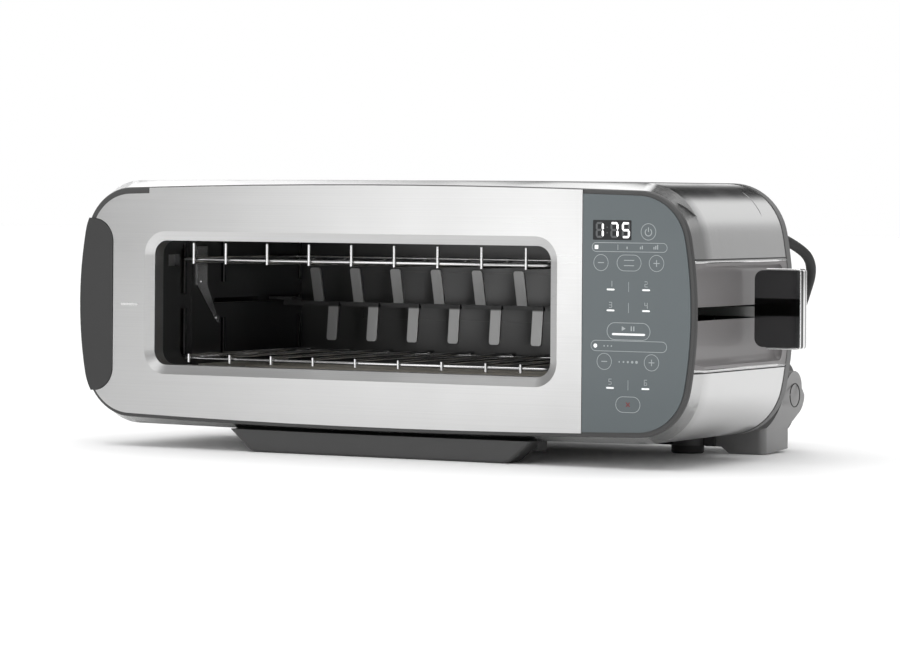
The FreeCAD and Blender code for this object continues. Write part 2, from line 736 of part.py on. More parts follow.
def crumb_tray():
    """Flat pan that stands behind the cavity and lies under it once the oven is flipped up."""
    top = REAR_TOP + TRAY_SEAT_GAP
    back = TRAY_FRONT_Y + TRAY_DEPTH
    pan = box(-TRAY_HALF_WIDTH, TRAY_HALF_WIDTH, TRAY_FRONT_Y, back, TRAY_BOTTOM_Z, top)
    hollow = box(
        -TRAY_HALF_WIDTH + TRAY_SHEET,
        TRAY_HALF_WIDTH - TRAY_SHEET,
        TRAY_FRONT_Y - 1,
        back - TRAY_SHEET,
        TRAY_BOTTOM_Z + TRAY_SHEET,
        top - TRAY_HEADER,
    )
    half = TRAY_HALF_WIDTH + TRAY_LIP_REACH
    lip_top, lip_back = top + TRAY_LIP_SHEET, back + TRAY_LIP_REACH
    lip = box(-half, half, TRAY_FRONT_Y - TRAY_LIP_REACH, lip_back, top, lip_top)
    pull = box(-TRAY_PULL_HALF, TRAY_PULL_HALF, back - TRAY_SHEET, lip_back, lip_top, top + TRAY_LIP)
    return pan.cut(hollow).fuse(lip).fuse(pull).removeSplitter()


def rear_feet():
    feet = []
    reach = REAR_HALF_WIDTH - REAR_FOOT_INSET
    for x in (-reach, reach):
        for z in (REAR_BOTTOM + REAR_FOOT_RISE, REAR_TOP - REAR_FOOT_RISE):
            foot = rod(Vector(x, REAR_BACK, z), Vector(x, HINGE_Y + HINGE_Z, z), REAR_FOOT_RADIUS)
            edges = [e for e in foot.Edges if abs(e.CenterOfMass.y - HINGE_Y - HINGE_Z) < 0.01]
            feet.append(foot.makeChamfer(FOOT_EDGE, edges))
    return group(feet)


def rear_screws():
    screws = []
    y = RIM_BACK + REAR_WALL
    reach = REAR_HALF_WIDTH + SCREW_OUT
    for x in (-reach, reach):
        for z in (MID_Z - SCREW_REACH, MID_Z + SCREW_REACH):
            screws.append(rod(Vector(x, y, z), Vector(x, y + SCREW_HEAD, z), SCREW_RADIUS))
    return group(screws)


# Mouth collar and heating cavity
def cavity_x(side, inset=0.0):
    return MOUTH_X + side * (CAVITY_HALF_WIDTH - inset)


def mouth_collar():
    """Sheet collar that leads from the fascia's flange into the cavity, with its small square window."""
    outer = along_y(mouth_rect(RETURN_DEPTH, COLLAR_STEP + SHEET), COLLAR_BACK - RETURN_DEPTH)
    inner = along_y(mouth_rect(RETURN_DEPTH + SHEET, COLLAR_STEP), COLLAR_BACK)
    lip = along_y(mouth_rect(RETURN_DEPTH - 1, 0), COLLAR_BACK)
    half_w = CAVITY_HALF_WIDTH + CAVITY_SHOULDER + SHEET
    half_h = CAVITY_HALF_HEIGHT + SHEET
    x0, x1 = MOUTH_X - half_w, MOUTH_X + half_w
    flange = box(x0, x1, COLLAR_BACK - SHEET, COLLAR_BACK, CAVITY_Z - half_h, CAVITY_Z + half_h)
    collar = outer.fuse(flange).cut(inner).cut(lip)
    left, top = MOUTH_X - MOUTH_WIDTH / 2, WINDOW_Z + WINDOW_HEIGHT
    return collar.cut(box(left - 5, left, WINDOW_FRONT, WINDOW_BACK, WINDOW_Z, top)).removeSplitter()


def cavity_liner():
    """Open-fronted sheet box with the guards' and carriage's slots and its pressed back wall."""
    wide = CAVITY_HALF_WIDTH + CAVITY_SHOULDER
    low, high = CAVITY_Z - CAVITY_HALF_HEIGHT, CAVITY_Z + CAVITY_HALF_HEIGHT
    left, right = cavity_x(-1), cavity_x(1)
    floor, roof = low - SHEET, high + SHEET
    step = SHOULDER_BACK
    outer = box(MOUTH_X - wide - SHEET, MOUTH_X + wide + SHEET, COLLAR_BACK, step, floor, roof)
    outer = outer.fuse(box(left - SHEET, right + SHEET, step, CAVITY_BACK, floor, roof))
    inner = box(MOUTH_X - wide, MOUTH_X + wide, COLLAR_BACK - 1, step - SHEET, low, high)
    inner = inner.fuse(box(left, right, COLLAR_BACK, CAVITY_BACK - SHEET, low, high))
    liner = outer.cut(inner)
    for x in (left, right):
        liner = liner.cut(side_slots(x))
    return liner.fuse(back_wall_pads()).removeSplitter()


def back_wall_pads():
    """Two raised fields that meet at a groove on the back wall, and a row of lugs under them."""
    back = CAVITY_BACK - SHEET
    left, right = MOUTH_X - PAD_HALF_WIDTH, MOUTH_X + PAD_HALF_WIDTH
    y = back - PAD_RISE
    field = round_rect(y, left, right, PAD_GROOVE_Z + PAD_GROOVE, PAD_TOP_Z, PAD_CORNER)
    upper = along_y(field, PAD_RISE)
    wide, step = left - PAD_SPREAD, left - PAD_STEP
    points = [Vector(wide, y, PAD_BOTTOM_Z), Vector(right, y, PAD_BOTTOM_Z)]
    points += [Vector(right, y, PAD_GROOVE_Z), Vector(step, y, PAD_GROOVE_Z)]
    points += [Vector(step, y, PAD_SPREAD_Z), Vector(wide, y, PAD_SPREAD_Z)]
    radii = [PAD_WIDE_CORNER, PAD_CORNER, 0, 0, 0, PAD_SPREAD_CORNER]
    lower = along_y(round_polygon(points, radii), PAD_RISE)
    lugs = []
    for k in range(LUGS):
        x = MOUTH_X + LUG_FIRST + LUG_PITCH * k
        lugs.append(box(x, x + LUG_LENGTH, back - LUG_RISE, back, LUG_Z, LUG_Z + LUG_HEIGHT))
    return group([upper, lower] + lugs)


def wall_strap():
    """Tapered polished strap riveted to the left wall, with its two rivet heads."""
    x = cavity_x(-1)
    points = [Vector(x, y, CAVITY_Z + z) for y, z in STRAP_OUTLINE]
    strap = along_x(Part.makePolygon(points + [points[0]]), STRAP_SHEET)
    for y, rise in STRAP_RIVETS:
        z = CAVITY_Z + rise
        strap = strap.fuse(rod(Vector(x, y, z), Vector(x + 2 * STRAP_SHEET, y, z), STRAP_RIVET_RADIUS))
    return strap.removeSplitter()


def side_slots(x):
    """Cutters through a cavity wall at x: three slots for each guard and the carriage's long slot."""
    cutters = []
    x0, x1 = x - SLOT_CUT, x + SLOT_CUT
    for front, back, near, far in (HOOK_SLOT, PIN_SLOT, END_SLOT):
        for side in (-1, 1):
            cutters.append(box(x0, x1, front, back, CAVITY_Z + side * near, CAVITY_Z + side * far))
    low, high = TAB_Z - WALL_SLOT_HEIGHT / 2, TAB_Z + WALL_SLOT_HEIGHT / 2
    cutters.append(box(x0, x1, WALL_SLOT_FRONT, CAVITY_BACK - 2 * SHEET, low, high))
    return group(cutters)


def side_frame(side):
    """Steel plate beside the cavity that ties the front frame to the rear rim."""
    x0 = cavity_x(side) + side * SHEET
    x1 = x0 + side * FRAME_SHEET
    shoulder = x0 + side * CAVITY_SHOULDER
    low, high = MID_Z - HALF_HEIGHT + FRAME_MARGIN, MID_Z + HALF_HEIGHT - FRAME_MARGIN
    half = FRAME_REAR_HALF
    plate = box(x0, x1, SHOULDER_BACK, RIM_FRONT, low, high)
    plate = plate.fuse(box(x0, x1, RIM_FRONT, CAVITY_BACK, CAVITY_Z - half, CAVITY_Z + half))
    outer = shoulder + side * FRAME_SHEET
    plate = plate.fuse(box(x0, outer, SHOULDER_BACK, SHOULDER_BACK + FRAME_SHEET, low, high))
    plate = plate.fuse(box(shoulder, outer, BEZEL_DEPTH, SHOULDER_BACK, low, high))
    if side > 0:
        x2, bottom, top = ROD_X + ROD_EAR, ROD_Z - ROD_EAR, ROD_Z + ROD_EAR
        for y in (ROD_EAR_Y, CAVITY_BACK - FRAME_SHEET):
            plate = plate.fuse(box(x0, x2, y, y + FRAME_SHEET, bottom, top))
        plate = plate.cut(rod(Vector(ROD_X, 0, ROD_Z), Vector(ROD_X, FAR, ROD_Z), ROD_RADIUS))
    return plate.cut(side_slots(x0)).removeSplitter()


def guide_rod():
    return rod(Vector(ROD_X, ROD_FRONT_Y, ROD_Z), Vector(ROD_X, CAVITY_BACK, ROD_Z), ROD_RADIUS)


# Heaters and reflectors
def heaters(side):
    z = CAVITY_Z + side * HEATER_RISE
    left, right = cavity_x(-1, HEATER_SEAT), cavity_x(1, HEATER_SEAT)
    tubes = [rod(Vector(left, y, z), Vector(right, y, z), HEATER_RADIUS) for y in HEATER_ROWS]
    return group(tubes)


def heater_holders():
    """Ceramic strips at both ends of each heater row, bored for the tubes."""
    strips = []
    front, back = HEATER_ROWS[0] - HOLDER_END, HEATER_ROWS[-1] + HOLDER_END
    for side_z in (-1, 1):
        z = CAVITY_Z + side_z * HEATER_RISE
        for side_x in (-1, 1):
            outer = cavity_x(side_x)
            inner = cavity_x(side_x, HOLDER_WIDTH)
            strip = box(inner, outer, front, back, z - HOLDER_HALF, z + HOLDER_HALF)
            bore_end = cavity_x(side_x, HEATER_SEAT)
            for y in HEATER_ROWS:
                strip = strip.cut(rod(Vector(inner - side_x, y, z), Vector(bore_end, y, z), HEATER_RADIUS))
            strips.append(strip)
    return group(strips)


def reflector(side):
    """Pressed bright sheet behind a heater row, with one trough for each tube."""
    back = CAVITY_Z + side * CAVITY_HALF_HEIGHT
    low = back - side * TROUGH_DEPTH
    left, right = cavity_x(-1, HOLDER_WIDTH + REFLECTOR_GAP), cavity_x(1, HOLDER_WIDTH + REFLECTOR_GAP)
    ys = [HEATER_ROWS[0] - REFLECTOR_END]
    for y in HEATER_ROWS:
        ys += [y - TROUGH_HALF, y - TROUGH_FLOOR_HALF, y + TROUGH_FLOOR_HALF, y + TROUGH_HALF]
    ys.append(HEATER_ROWS[-1] + REFLECTOR_END)
    points = []
    for i, y in enumerate(ys):
        deep = i % 4 in (2, 3)
        points.append(Vector(left, y, back if deep else low))
    sheet = Vector(0, 0, side * REFLECTOR_SHEET)
    upper = [p - sheet for p in reversed(points)]
    wire = Part.makePolygon(points + upper + [points[0]])
    return along_x(wire, right - left)


# Wire guards
def guard_wire_positions(side):
    """X of each depth wire; the lower guard is the upper one turned over."""
    positions = [UPPER_GUARD_LEFT_X if side > 0 else LOWER_GUARD_LEFT_X]
    short_step = 0 if side > 0 else GUARD_WIRES - 2
    for k in range(GUARD_WIRES - 1):
        positions.append(positions[-1] + (GUARD_SHORT_PITCH if k == short_step else GUARD_PITCH))
    return positions


def octagon(centre, direction, radius):
    """Eight-sided section across direction, its flats as far from the centre as a round wire's surface."""
    across = Vector(0, 0, 1) if abs(direction.z) < 0.7 else Vector(0, 1, 0)
    side = direction.cross(across).normalize()
    rise = side.cross(direction).normalize()
    reach = radius / math.cos(math.pi / 8)
    points = []
    for k in range(8):
        angle = math.pi / 8 + k * math.pi / 4
        points.append(centre + side * (reach * math.cos(angle)) + rise * (reach * math.sin(angle)))
    return Part.makePolygon(points + [points[0]])


def straight_wire(start, end, radius):
    return Part.Face(octagon(start, end - start, radius)).extrude(end - start)


def bent_wire(points, radius):
    """Wire through the points, mitred at each bend."""
    section = octagon(points[0], points[1] - points[0], radius)
    return Part.makePolygon(points).makePipeShell([section], True, False, 1)


def guard_frame(left, right, z):
    """The guard's frame in five lengths that butt: front bow, two side wires and two end hooks."""
    hook = GUARD_SIDE_INSET + SHEET + FRAME_SHEET + GUARD_BEYOND
    bow_end, hook_start = GUARD_HOOK_Y + GUARD_JOINT, GUARD_END_Y - GUARD_JOINT
    radius = GUARD_BAR_RADIUS
    near_left, near_right = left + GUARD_BOW, right - GUARD_BOW
    bend_y = GUARD_FRONT_Y + GUARD_BEND
    bow = [Vector(left, bow_end, z), Vector(left, GUARD_HOOK_Y, z), Vector(near_left, bend_y, z)]
    bow += [Vector(near_left + GUARD_BEND, GUARD_FRONT_Y, z)]
    bow += [Vector(near_right - GUARD_BEND, GUARD_FRONT_Y, z)]
    bow += [Vector(near_right, bend_y, z), Vector(right, GUARD_HOOK_Y, z), Vector(right, bow_end, z)]
    wires = [bent_wire(bow, radius)]
    for x, way in ((left, -1), (right, 1)):
        wires.append(straight_wire(Vector(x, bow_end, z), Vector(x, hook_start, z), radius))
        bend = [Vector(x, hook_start, z), Vector(x, GUARD_END_Y, z)]
        wires.append(bent_wire(bend + [Vector(x + way * hook, GUARD_END_Y, z)], radius))
    return wires


def guard(side):
    """Wire grid: hooked frame, rear bar, four stub pins and depth wires turned away at the front."""
    z = GRID_Z + side * GUARD_REACH
    left, right = cavity_x(-1, GUARD_SIDE_INSET), cavity_x(1, GUARD_SIDE_INSET)
    stub = GUARD_SIDE_INSET + GUARD_STUB
    wires = guard_frame(left, right, z)
    radius = GUARD_BAR_RADIUS
    start, end = Vector(left + radius, GUARD_BACK_Y, z), Vector(right - radius, GUARD_BACK_Y, z)
    wires.append(straight_wire(start, end, radius))
    for x, way in ((left, -1), (right, 1)):
        for y in (GUARD_HOOK_Y + radius, GUARD_PIN_Y):
            start, end = Vector(x + way * radius, y, z), Vector(x + way * stub, y, z)
            wires.append(straight_wire(start, end, radius))
    drop = GUARD_BAR_RADIUS + GUARD_WIRE_RADIUS
    front, wire_z = GUARD_FRONT_Y - drop, z - side * drop
    tip_z = UPPER_FLARE_Z if side > 0 else LOWER_FLARE_Z
    for x in guard_wire_positions(side):
        points = [Vector(x, front, tip_z), Vector(x, front, wire_z)]
        points.append(Vector(x, GUARD_BACK_Y + GUARD_TAIL, wire_z))
        wires.append(bent_wire(points, GUARD_WIRE_RADIUS))
    return group(wires)


# Bread carriage
def finger(x, front, base_z, tip_z, lean):
    """One flat finger from the rack to its rounded tip, leaning towards the mouth."""
    profile = [Vector(x, front, base_z), Vector(x, front + FINGER_SHEET, base_z)]
    profile += [Vector(x, front + FINGER_SHEET - lean, tip_z), Vector(x, front - lean, tip_z)]
    blade = along_x(Part.makePolygon(profile + [profile[0]]), FINGER_WIDTH)
    blade.translate(Vector(-FINGER_WIDTH / 2, 0, 0))
    tips = []
    for edge in blade.Edges:
        if abs(edge.CenterOfMass.z - tip_z) < 0.01 and edge.Length < FINGER_SHEET + 0.1:
            tips.append(edge)
    return blade.makeFillet(FINGER_TIP_RADIUS, tips)


def lower_finger_x(k):
    return LOWER_FINGER_X + k * GUARD_PITCH


def upper_fingers():
    """Fingers that stand on the rack."""
    xs = [UPPER_FINGER_X + k * GUARD_PITCH for k in range(UPPER_FINGERS)]
    return group([finger(x, CARRIAGE_Y, RACK_HIGH, UPPER_TIP_Z, UPPER_LEAN) for x in xs])


def lower_fingers():
    """Fingers that hang from the rack's front face."""
    front = CARRIAGE_Y - FINGER_SHEET
    xs = [lower_finger_x(k) for k in range(LOWER_FINGERS)]
    return group([finger(x, front, RACK_HIGH - FINGER_HANG, LOWER_TIP_Z, LOWER_LEAN) for x in xs])


def bread_carriage():
    """Rack across the cavity, notched beside each lower finger, with a tab through each wall slot."""
    left, right = cavity_x(-1, CARRIAGE_SIDE_GAP), cavity_x(1, CARRIAGE_SIDE_GAP)
    back = CARRIAGE_Y + RACK_SHEET
    tab_low, tab_high = TAB_Z - TAB_THICK / 2, TAB_Z + TAB_THICK / 2
    flange_z = RACK_HIGH - RACK_SHEET
    rack = box(left, right, CARRIAGE_Y, back, RACK_LOW, RACK_HIGH)
    rack = rack.fuse(box(left, right, CARRIAGE_Y, CARRIAGE_Y + RACK_FLANGE, flange_z, RACK_HIGH))
    for k in range(LOWER_FINGERS):
        x = lower_finger_x(k) + FINGER_WIDTH / 2
        rack = rack.cut(box(x, x + RACK_NOTCH, CARRIAGE_Y - 1, back, 0, flange_z))
    left_out = cavity_x(-1) - SHEET - FRAME_SHEET - TAB_BEYOND_WALL
    right_out = ROD_X + SLIDER_RADIUS
    for wall, way, out in ((left, 1, left_out), (right, -1, right_out)):
        inside = wall + way * TAB_REACH
        rack = rack.fuse(box(wall, inside, CARRIAGE_Y, back, RACK_LOW, tab_high))
        rack = rack.fuse(box(out, inside, CARRIAGE_Y - TAB_FRONT, back, tab_low, tab_high))
    return rack.removeSplitter()


def carriage_slider():
    """Bored block under the carriage's right tab that runs on the guide rod."""
    back = CARRIAGE_Y + RACK_SHEET
    front = back - SLIDER_LENGTH
    body = rod(Vector(ROD_X, front, ROD_Z), Vector(ROD_X, back, ROD_Z), SLIDER_RADIUS)
    x0, x1 = ROD_X - SLIDER_RADIUS, ROD_X + SLIDER_RADIUS
    body = body.fuse(box(x0, x1, CARRIAGE_Y - TAB_FRONT, back, ROD_Z, TAB_Z - TAB_THICK / 2))
    start, end = Vector(ROD_X, front - 1, ROD_Z), Vector(ROD_X, back + 1, ROD_Z)
    return body.cut(rod(start, end, ROD_RADIUS + ROD_CLEARANCE))


def lever_arm():
    """Steel strip from the carriage's right tab forward to the slot and out to the paddle."""
    low, high = LEVER_Z - LEVER_ARM_HEIGHT / 2, LEVER_Z + LEVER_ARM_HEIGHT / 2
    x0, x1 = ROD_X - SLIDER_RADIUS, ROD_X + SLIDER_RADIUS
    back = CARRIAGE_Y + RACK_SHEET
    front = LEVER_ARM_Y - LEVER_ARM_DEPTH / 2
    strip = box(x1, x1 + ARM_STRIP, front, back, low, high)
    strip = strip.fuse(box(x0, x1, CARRIAGE_Y - TAB_FRONT, back, TAB_Z + TAB_THICK / 2, high))
    tongue = box(x1, PADDLE_INNER_X, front, front + LEVER_ARM_DEPTH, low, high)
    return strip.fuse(tongue).removeSplitter()


def paddle_corners(y, grow, inner_x):
    half = PADDLE_HALF_HEIGHT + grow
    middle, outer = LEVER_Z + PADDLE_RISE, PADDLE_OUTER_X + grow
    low, high = middle - half, middle + half
    return [Vector(inner_x, y, low), Vector(outer, y, low), Vector(outer, y, high), Vector(inner_x, y, high)]


def lever_paddle():
    corners = paddle_corners(LEVER_ARM_Y - PADDLE_THICK / 2, 0, PADDLE_INNER_X)
    radii = [PADDLE_CORNER, PADDLE_OUTER_CORNER, PADDLE_OUTER_CORNER, PADDLE_CORNER]
    return along_y(round_polygon(corners, radii), PADDLE_THICK)


def lever_trim():
    """Bright strip bent round the outer end of the paddle."""
    y0 = LEVER_ARM_Y - PADDLE_THICK / 2 - TRIM_PROUD
    depth = PADDLE_THICK + 2 * TRIM_PROUD
    outside = paddle_corners(y0, TRIM_SHEET, TRIM_START_X)
    outer = along_y(round_polygon(outside, [0, TRIM_CORNER, TRIM_CORNER, 0]), depth)
    inside = paddle_corners(y0 - 1, 0, TRIM_START_X - 5)
    radii = [0, PADDLE_OUTER_CORNER, PADDLE_OUTER_CORNER, 0]
    return outer.cut(along_y(round_polygon(inside, radii), depth + 2))


# Electronics
def on_board(part, right, z):
    """Block that stands on the power board, whose right edge is at right and its top at z."""
    inset, front, width, depth, height = part
    return box(right - inset, right - inset + width, front, front + depth, z, z + height)


def main_board():
    """Power board on posts over the bottom skin."""
    z = MID_Z - HALF_HEIGHT + BOARD_RISE
    top = z + BOARD_SHEET
    right = HALF_WIDTH - BOARD_INSET
    left = right - BOARD_WIDTH
    board = box(left, right, BOARD_FRONT, BOARD_BACK, z, top)
    for x in (left + POST_INSET, left + POST_INSET + POST_PITCH):
        for y in (BOARD_FRONT + POST_INSET, BOARD_BACK - POST_INSET):
            board = board.fuse(rod(Vector(x, y, 0), Vector(x, y, z), POST_RADIUS))
    board = board.common(skin_slab(0, FAR, SKIN_SHEET))
    for part in (RELAY, CHOKE):
        board = board.fuse(on_board(part, right, top))
    return board.removeSplitter()


def latch_magnet():
    """Electromagnet that holds the slider at the back of the carriage's travel."""
    front = CARRIAGE_Y + RACK_SHEET + MAGNET_GAP
    x0, x1 = ROD_X - MAGNET_HALF, ROD_X + MAGNET_HALF
    first, last = ROD_Z + MAGNET_LIMB, ROD_Z + 4 * MAGNET_LIMB
    core = box(x0, x1, front, CAVITY_BACK - FRAME_SHEET, first, last)
    groove = box(x0 - 1, x1 + 1, front - 1, front + MAGNET_GROOVE, first + MAGNET_LIMB, last - MAGNET_LIMB)
    return core.cut(groove)


# Front foot
def foot_wire(y, inset):
    top = MID_Z - HALF_HEIGHT + FOOT_INTO
    bottom_half = FOOT_BOTTOM_HALF - inset
    spread = (FOOT_TOP_HALF - FOOT_BOTTOM_HALF) * top / (MID_Z - HALF_HEIGHT - SKIN_GROW)
    top_half = bottom_half + spread
    points = [Vector(-bottom_half, y, inset), Vector(bottom_half, y, inset)]
    points += [Vector(top_half, y, top), Vector(-top_half, y, top)]
    return round_polygon(points, [FOOT_CORNER - inset, FOOT_CORNER - inset, 0, 0])


def front_foot():
    """Trapezoid foot under the front edge, hollow behind so that it is also the flip handle."""
    body = along_y(foot_wire(FOOT_FRONT_Y, 0), FOOT_BACK_Y - FOOT_FRONT_Y)
    edges = [e for e in body.Edges if abs(e.CenterOfMass.y - FOOT_FRONT_Y) < 0.01]
    body = body.makeFillet(FOOT_FRONT_EDGE, edges)
    hollow = along_y(foot_wire(FOOT_FRONT_Y + FOOT_WALL + 1, FOOT_WALL), FOOT_BACK_Y)
    seat = skin_slab(-1, FAR, -FOOT_SEAT_GAP)
    roof = skin_slab(-1, FAR, -FOOT_SEAT_GAP - FOOT_WALL)
    return body.cut(hollow.cut(roof)).cut(seat)


def foot_bracket():
    """Bar behind the foot that screws it to the underside of the housing."""
    half = FOOT_TOP_HALF - BRACKET_INSET
    back, top = FOOT_BACK_Y + BRACKET_DEPTH, BRACKET_Z + BRACKET_HEIGHT
    return box(-half, half, FOOT_BACK_Y, back, BRACKET_Z, top).cut(skin_slab(-1, FAR))


# Hinge and stand
def hinge_ear():
    """Round eccentric hub beside the rear cover, with a boss that follows the cover's corner."""
    centre_y, centre_z = HINGE_Y + EAR_BEHIND_PIN, HINGE_Z - EAR_BELOW_PIN
    start = Vector(REAR_HALF_WIDTH + EAR_STANDOFF, centre_y, centre_z)
    disc = rod(start, Vector(EAR_OUTER_X, centre_y, centre_z), EAR_RADIUS)
    edges = [e for e in disc.Edges if abs(e.CenterOfMass.x - EAR_OUTER_X) < 0.01]
    disc = disc.makeChamfer(EAR_EDGE, edges)
    inside = Vector(REAR_HALF_WIDTH - EAR_BOSS_DEPTH, centre_y, centre_z)
    boss = rod(inside, start, EAR_RADIUS - EAR_BOSS_STEP)
    boss = boss.common(box(0, FAR, 0, FAR, EAR_BOSS_Z, FAR)).cut(rear_block(0, RIM_FRONT, REAR_BACK))
    return disc.fuse(boss)


def hinge_ears():
    return group([hinge_ear(), mirrored(hinge_ear())])


def hinge_pins():
    pins = []
    for side in (-1, 1):
        start = Vector(side * EAR_OUTER_X, HINGE_Y, HINGE_Z)
        end = Vector(side * (CAP_SEAT_X - CAP_GAP), HINGE_Y, HINGE_Z)
        pins.append(rod(start, end, HINGE_PIN_RADIUS))
    return group(pins)


def arm_profile(x):
    """Side outline of the stand's arm: a block on the counter and a rounded boss about the hinge."""

    def at(dy, dz):
        return Vector(x, HINGE_Y + dy, HINGE_Z + dz)

    front, back = at(BLOCK_FRONT, BLOCK_HEIGHT - HINGE_Z), at(BLOCK_BACK, BLOCK_HEIGHT - HINGE_Z)
    toe, heel = at(BLOCK_FRONT, -HINGE_Z), at(BLOCK_BACK, BLOCK_HEEL - HINGE_Z)
    neck, crown, rear = [[at(*p) for p in part] for part in (ARM_NECK, ARM_CROWN, ARM_HEEL)]
    edges = [line(heel, toe), line(toe, front), arc(front, neck[0], neck[1]), line(neck[1], neck[2])]
    edges += [arc(neck[2], crown[0], crown[1]), arc(crown[1], crown[2], crown[3])]
    edges += [line(crown[3], rear[0]), arc(*rear), line(rear[2], back), line(back, heel)]
    return Part.Wire(edges)


def lean_cutter():
    """Everything outside the arm's face, which leans outwards above the block."""
    slope = math.tan(math.radians(ARM_LEAN_DEG))
    points = [Vector(ARM_BASE_X, 0, -PAST), Vector(ARM_BASE_X, 0, BLOCK_HEIGHT)]
    points.append(Vector(ARM_BASE_X + slope * (MID_Z - BLOCK_HEIGHT), 0, MID_Z))
    points += [Vector(FAR, 0, MID_Z), Vector(FAR, 0, -PAST)]
    return along_y(Part.makePolygon(points + [points[0]]), FAR)


def bracket_wall(inner_x, front):
    """Low wall in front of the block, swept up to the arm."""
    toe, end = BLOCK_INNER_X + TOE_START, BLOCK_INNER_X + TOE_END
    outline = [(BLOCK_INNER_X, BAR_BOTTOM_Z), (toe, BAR_BOTTOM_Z), (end, 0), (inner_x, 0)]
    outline += [(inner_x, BAR_TOP_Z + WALL_RISE), (inner_x - WALL_SWEEP, BAR_TOP_Z + WALL_STEP)]
    outline.append((BLOCK_INNER_X, BAR_TOP_Z))
    points = [Vector(x, front, z) for x, z in outline]
    return along_y(round_polygon(points, [0, WALL_EDGE, WALL_EDGE, 0, 0, WALL_HOLLOW, 0]), BLOCK_WALL)


def stand_bracket():
    """End bracket: leaning arm on its block, a low front wall, a base plate, the bore and the cap's seat."""
    inner_x = EAR_OUTER_X + ARM_GAP
    front = HINGE_Y + BLOCK_FRONT
    arm = along_x(arm_profile(inner_x), 2 * PAST).cut(lean_cutter())
    arm = arm.makeFillet(BLOCK_CORNER, [e for e in arm.Edges if is_block_corner(e)])
    base_front = front + BLOCK_WALL
    base_back = base_front + BASE_DEPTH
    base = box(BLOCK_INNER_X + BASE_START, inner_x, base_front, base_back, 0, BAR_BOTTOM_Z)
    bracket = arm.fuse(bracket_wall(inner_x, front)).fuse(base)
    start, seat = Vector(inner_x - 1, HINGE_Y, HINGE_Z), Vector(CAP_SEAT_X, HINGE_Y, HINGE_Z)
    bore = rod(start, seat, HINGE_PIN_RADIUS + HINGE_CLEARANCE)
    return bracket.cut(bore).removeSplitter().cut(cap_blank())


def is_block_corner(edge):
    """True for the block's upright front outer edge."""
    middle = edge.CenterOfMass
    return (
        abs(middle.x - ARM_BASE_X) < 0.01
        and abs(middle.y - HINGE_Y - BLOCK_FRONT) < 0.01
        and abs(middle.z - BLOCK_HEIGHT / 2) < 0.5
    )


def cap_blank():
    start = Vector(CAP_SEAT_X, HINGE_Y, HINGE_Z)
    return rod(start, start + Vector(PAST, 0, 0), ARM_CAP_RADIUS)


def pivot_cap():
    """Round cap set in the outside of the arm over the hinge pin, cut to the leaning face."""
    return cap_blank().cut(lean_cutter())


def pivot_caps():
    return group([pivot_cap(), mirrored(pivot_cap())])


def stand_crossbar():
    """Hollow bar between the brackets with a boss over each rubber foot."""
    bar = box(-BLOCK_INNER_X, BLOCK_INNER_X, BAR_FRONT_Y, BAR_BACK_Y, BAR_BOTTOM_Z, BAR_TOP_Z)
    bar = bar.makeFillet(BAR_EDGE, [e for e in bar.Edges if e.Length > BLOCK_INNER_X])
    hollow, front, back = BLOCK_INNER_X - BAR_SOLID_END, BAR_FRONT_Y + BAR_WALL, BAR_BACK_Y - BAR_WALL
    bar = bar.cut(box(-hollow, hollow, front, back, 0, BAR_TOP_Z - BAR_WALL))
    for x in (-STAND_FOOT_X, STAND_FOOT_X):
        under, top = Vector(x, STAND_FOOT_Y, STAND_FOOT_HEIGHT), Vector(x, STAND_FOOT_Y, BAR_TOP_Z)
        bar = bar.cut(rod(Vector(x, STAND_FOOT_Y, 0), under, STAND_FOOT_RADIUS + FOOT_ROOM))
        bar = bar.fuse(rod(under, top, STAND_FOOT_RADIUS - FOOT_BOSS_STEP))
    return bar.removeSplitter()


def stand_feet():
    feet = []
    for x in (-STAND_FOOT_X, STAND_FOOT_X):
        foot = rod(Vector(x, STAND_FOOT_Y, 0), Vector(x, STAND_FOOT_Y, STAND_FOOT_HEIGHT), STAND_FOOT_RADIUS)
        edges = [e for e in foot.Edges if abs(e.CenterOfMass.z) < 0.01]
        feet.append(foot.makeChamfer(FOOT_EDGE, edges))
    return group(feet)


# Mains cord
def route_points():
    """The free cord's route, whose points are kept from the housing's rear right-hand corner."""
    return [CORD_CORNER + Vector(*point) for point in CORD_ROUTE]


def relief_direction():
    return (route_points()[0] - GLAND_PLACE).normalize()


def cord_gland():
    """Collar on the back of the right-hand flange that the cord comes out of."""
    direction = relief_direction()
    start, end = GLAND_PLACE - direction * GLAND_SEAT, GLAND_PLACE + direction * GLAND_LENGTH
    return rod(start, end, GLAND_RADIUS).cut(box(0, FAR, 0, GLAND_PLACE.y, 0, FAR))


def strain_relief():
    direction = relief_direction()
    start, length = GLAND_PLACE + direction * GLAND_LENGTH, RELIEF_LENGTH - GLAND_LENGTH
    return Part.makeCone(RELIEF_BASE_RADIUS, RELIEF_TIP_RADIUS, length, start, direction)


def route_wire(points):
    """Straight runs joined by tangent arcs as large as the two runs at each point allow."""
    edges = []
    last = points[0]
    for before, corner, after in zip(points, points[1:], points[2:]):
        run_in, run_out = (before - corner).Length, (after - corner).Length
        to_before = (before - corner).normalize()
        to_after = (after - corner).normalize()
        half_turn = (math.pi - math.acos(to_before.dot(to_after))) / 2
        cut = CORD_CUT_SHARE * min(run_in, run_out)
        radius = cut / math.tan(half_turn)
        print("cord radius", round(radius, 1))
        start, end = corner + to_before * cut, corner + to_after * cut
        middle = corner + (to_before + to_after).normalize() * (radius / math.cos(half_turn) - radius)
        edges.append(line(last, start))
        edges.append(arc(start, middle, end))
        last = end
    edges.append(line(last, points[-1]))
    return Part.Wire(edges)


def cord_pipe(path, start, direction):
    section = Part.Face(Part.Wire(Part.Circle(start, direction, CORD_RADIUS).toShape()))
    return path.makePipe(section)


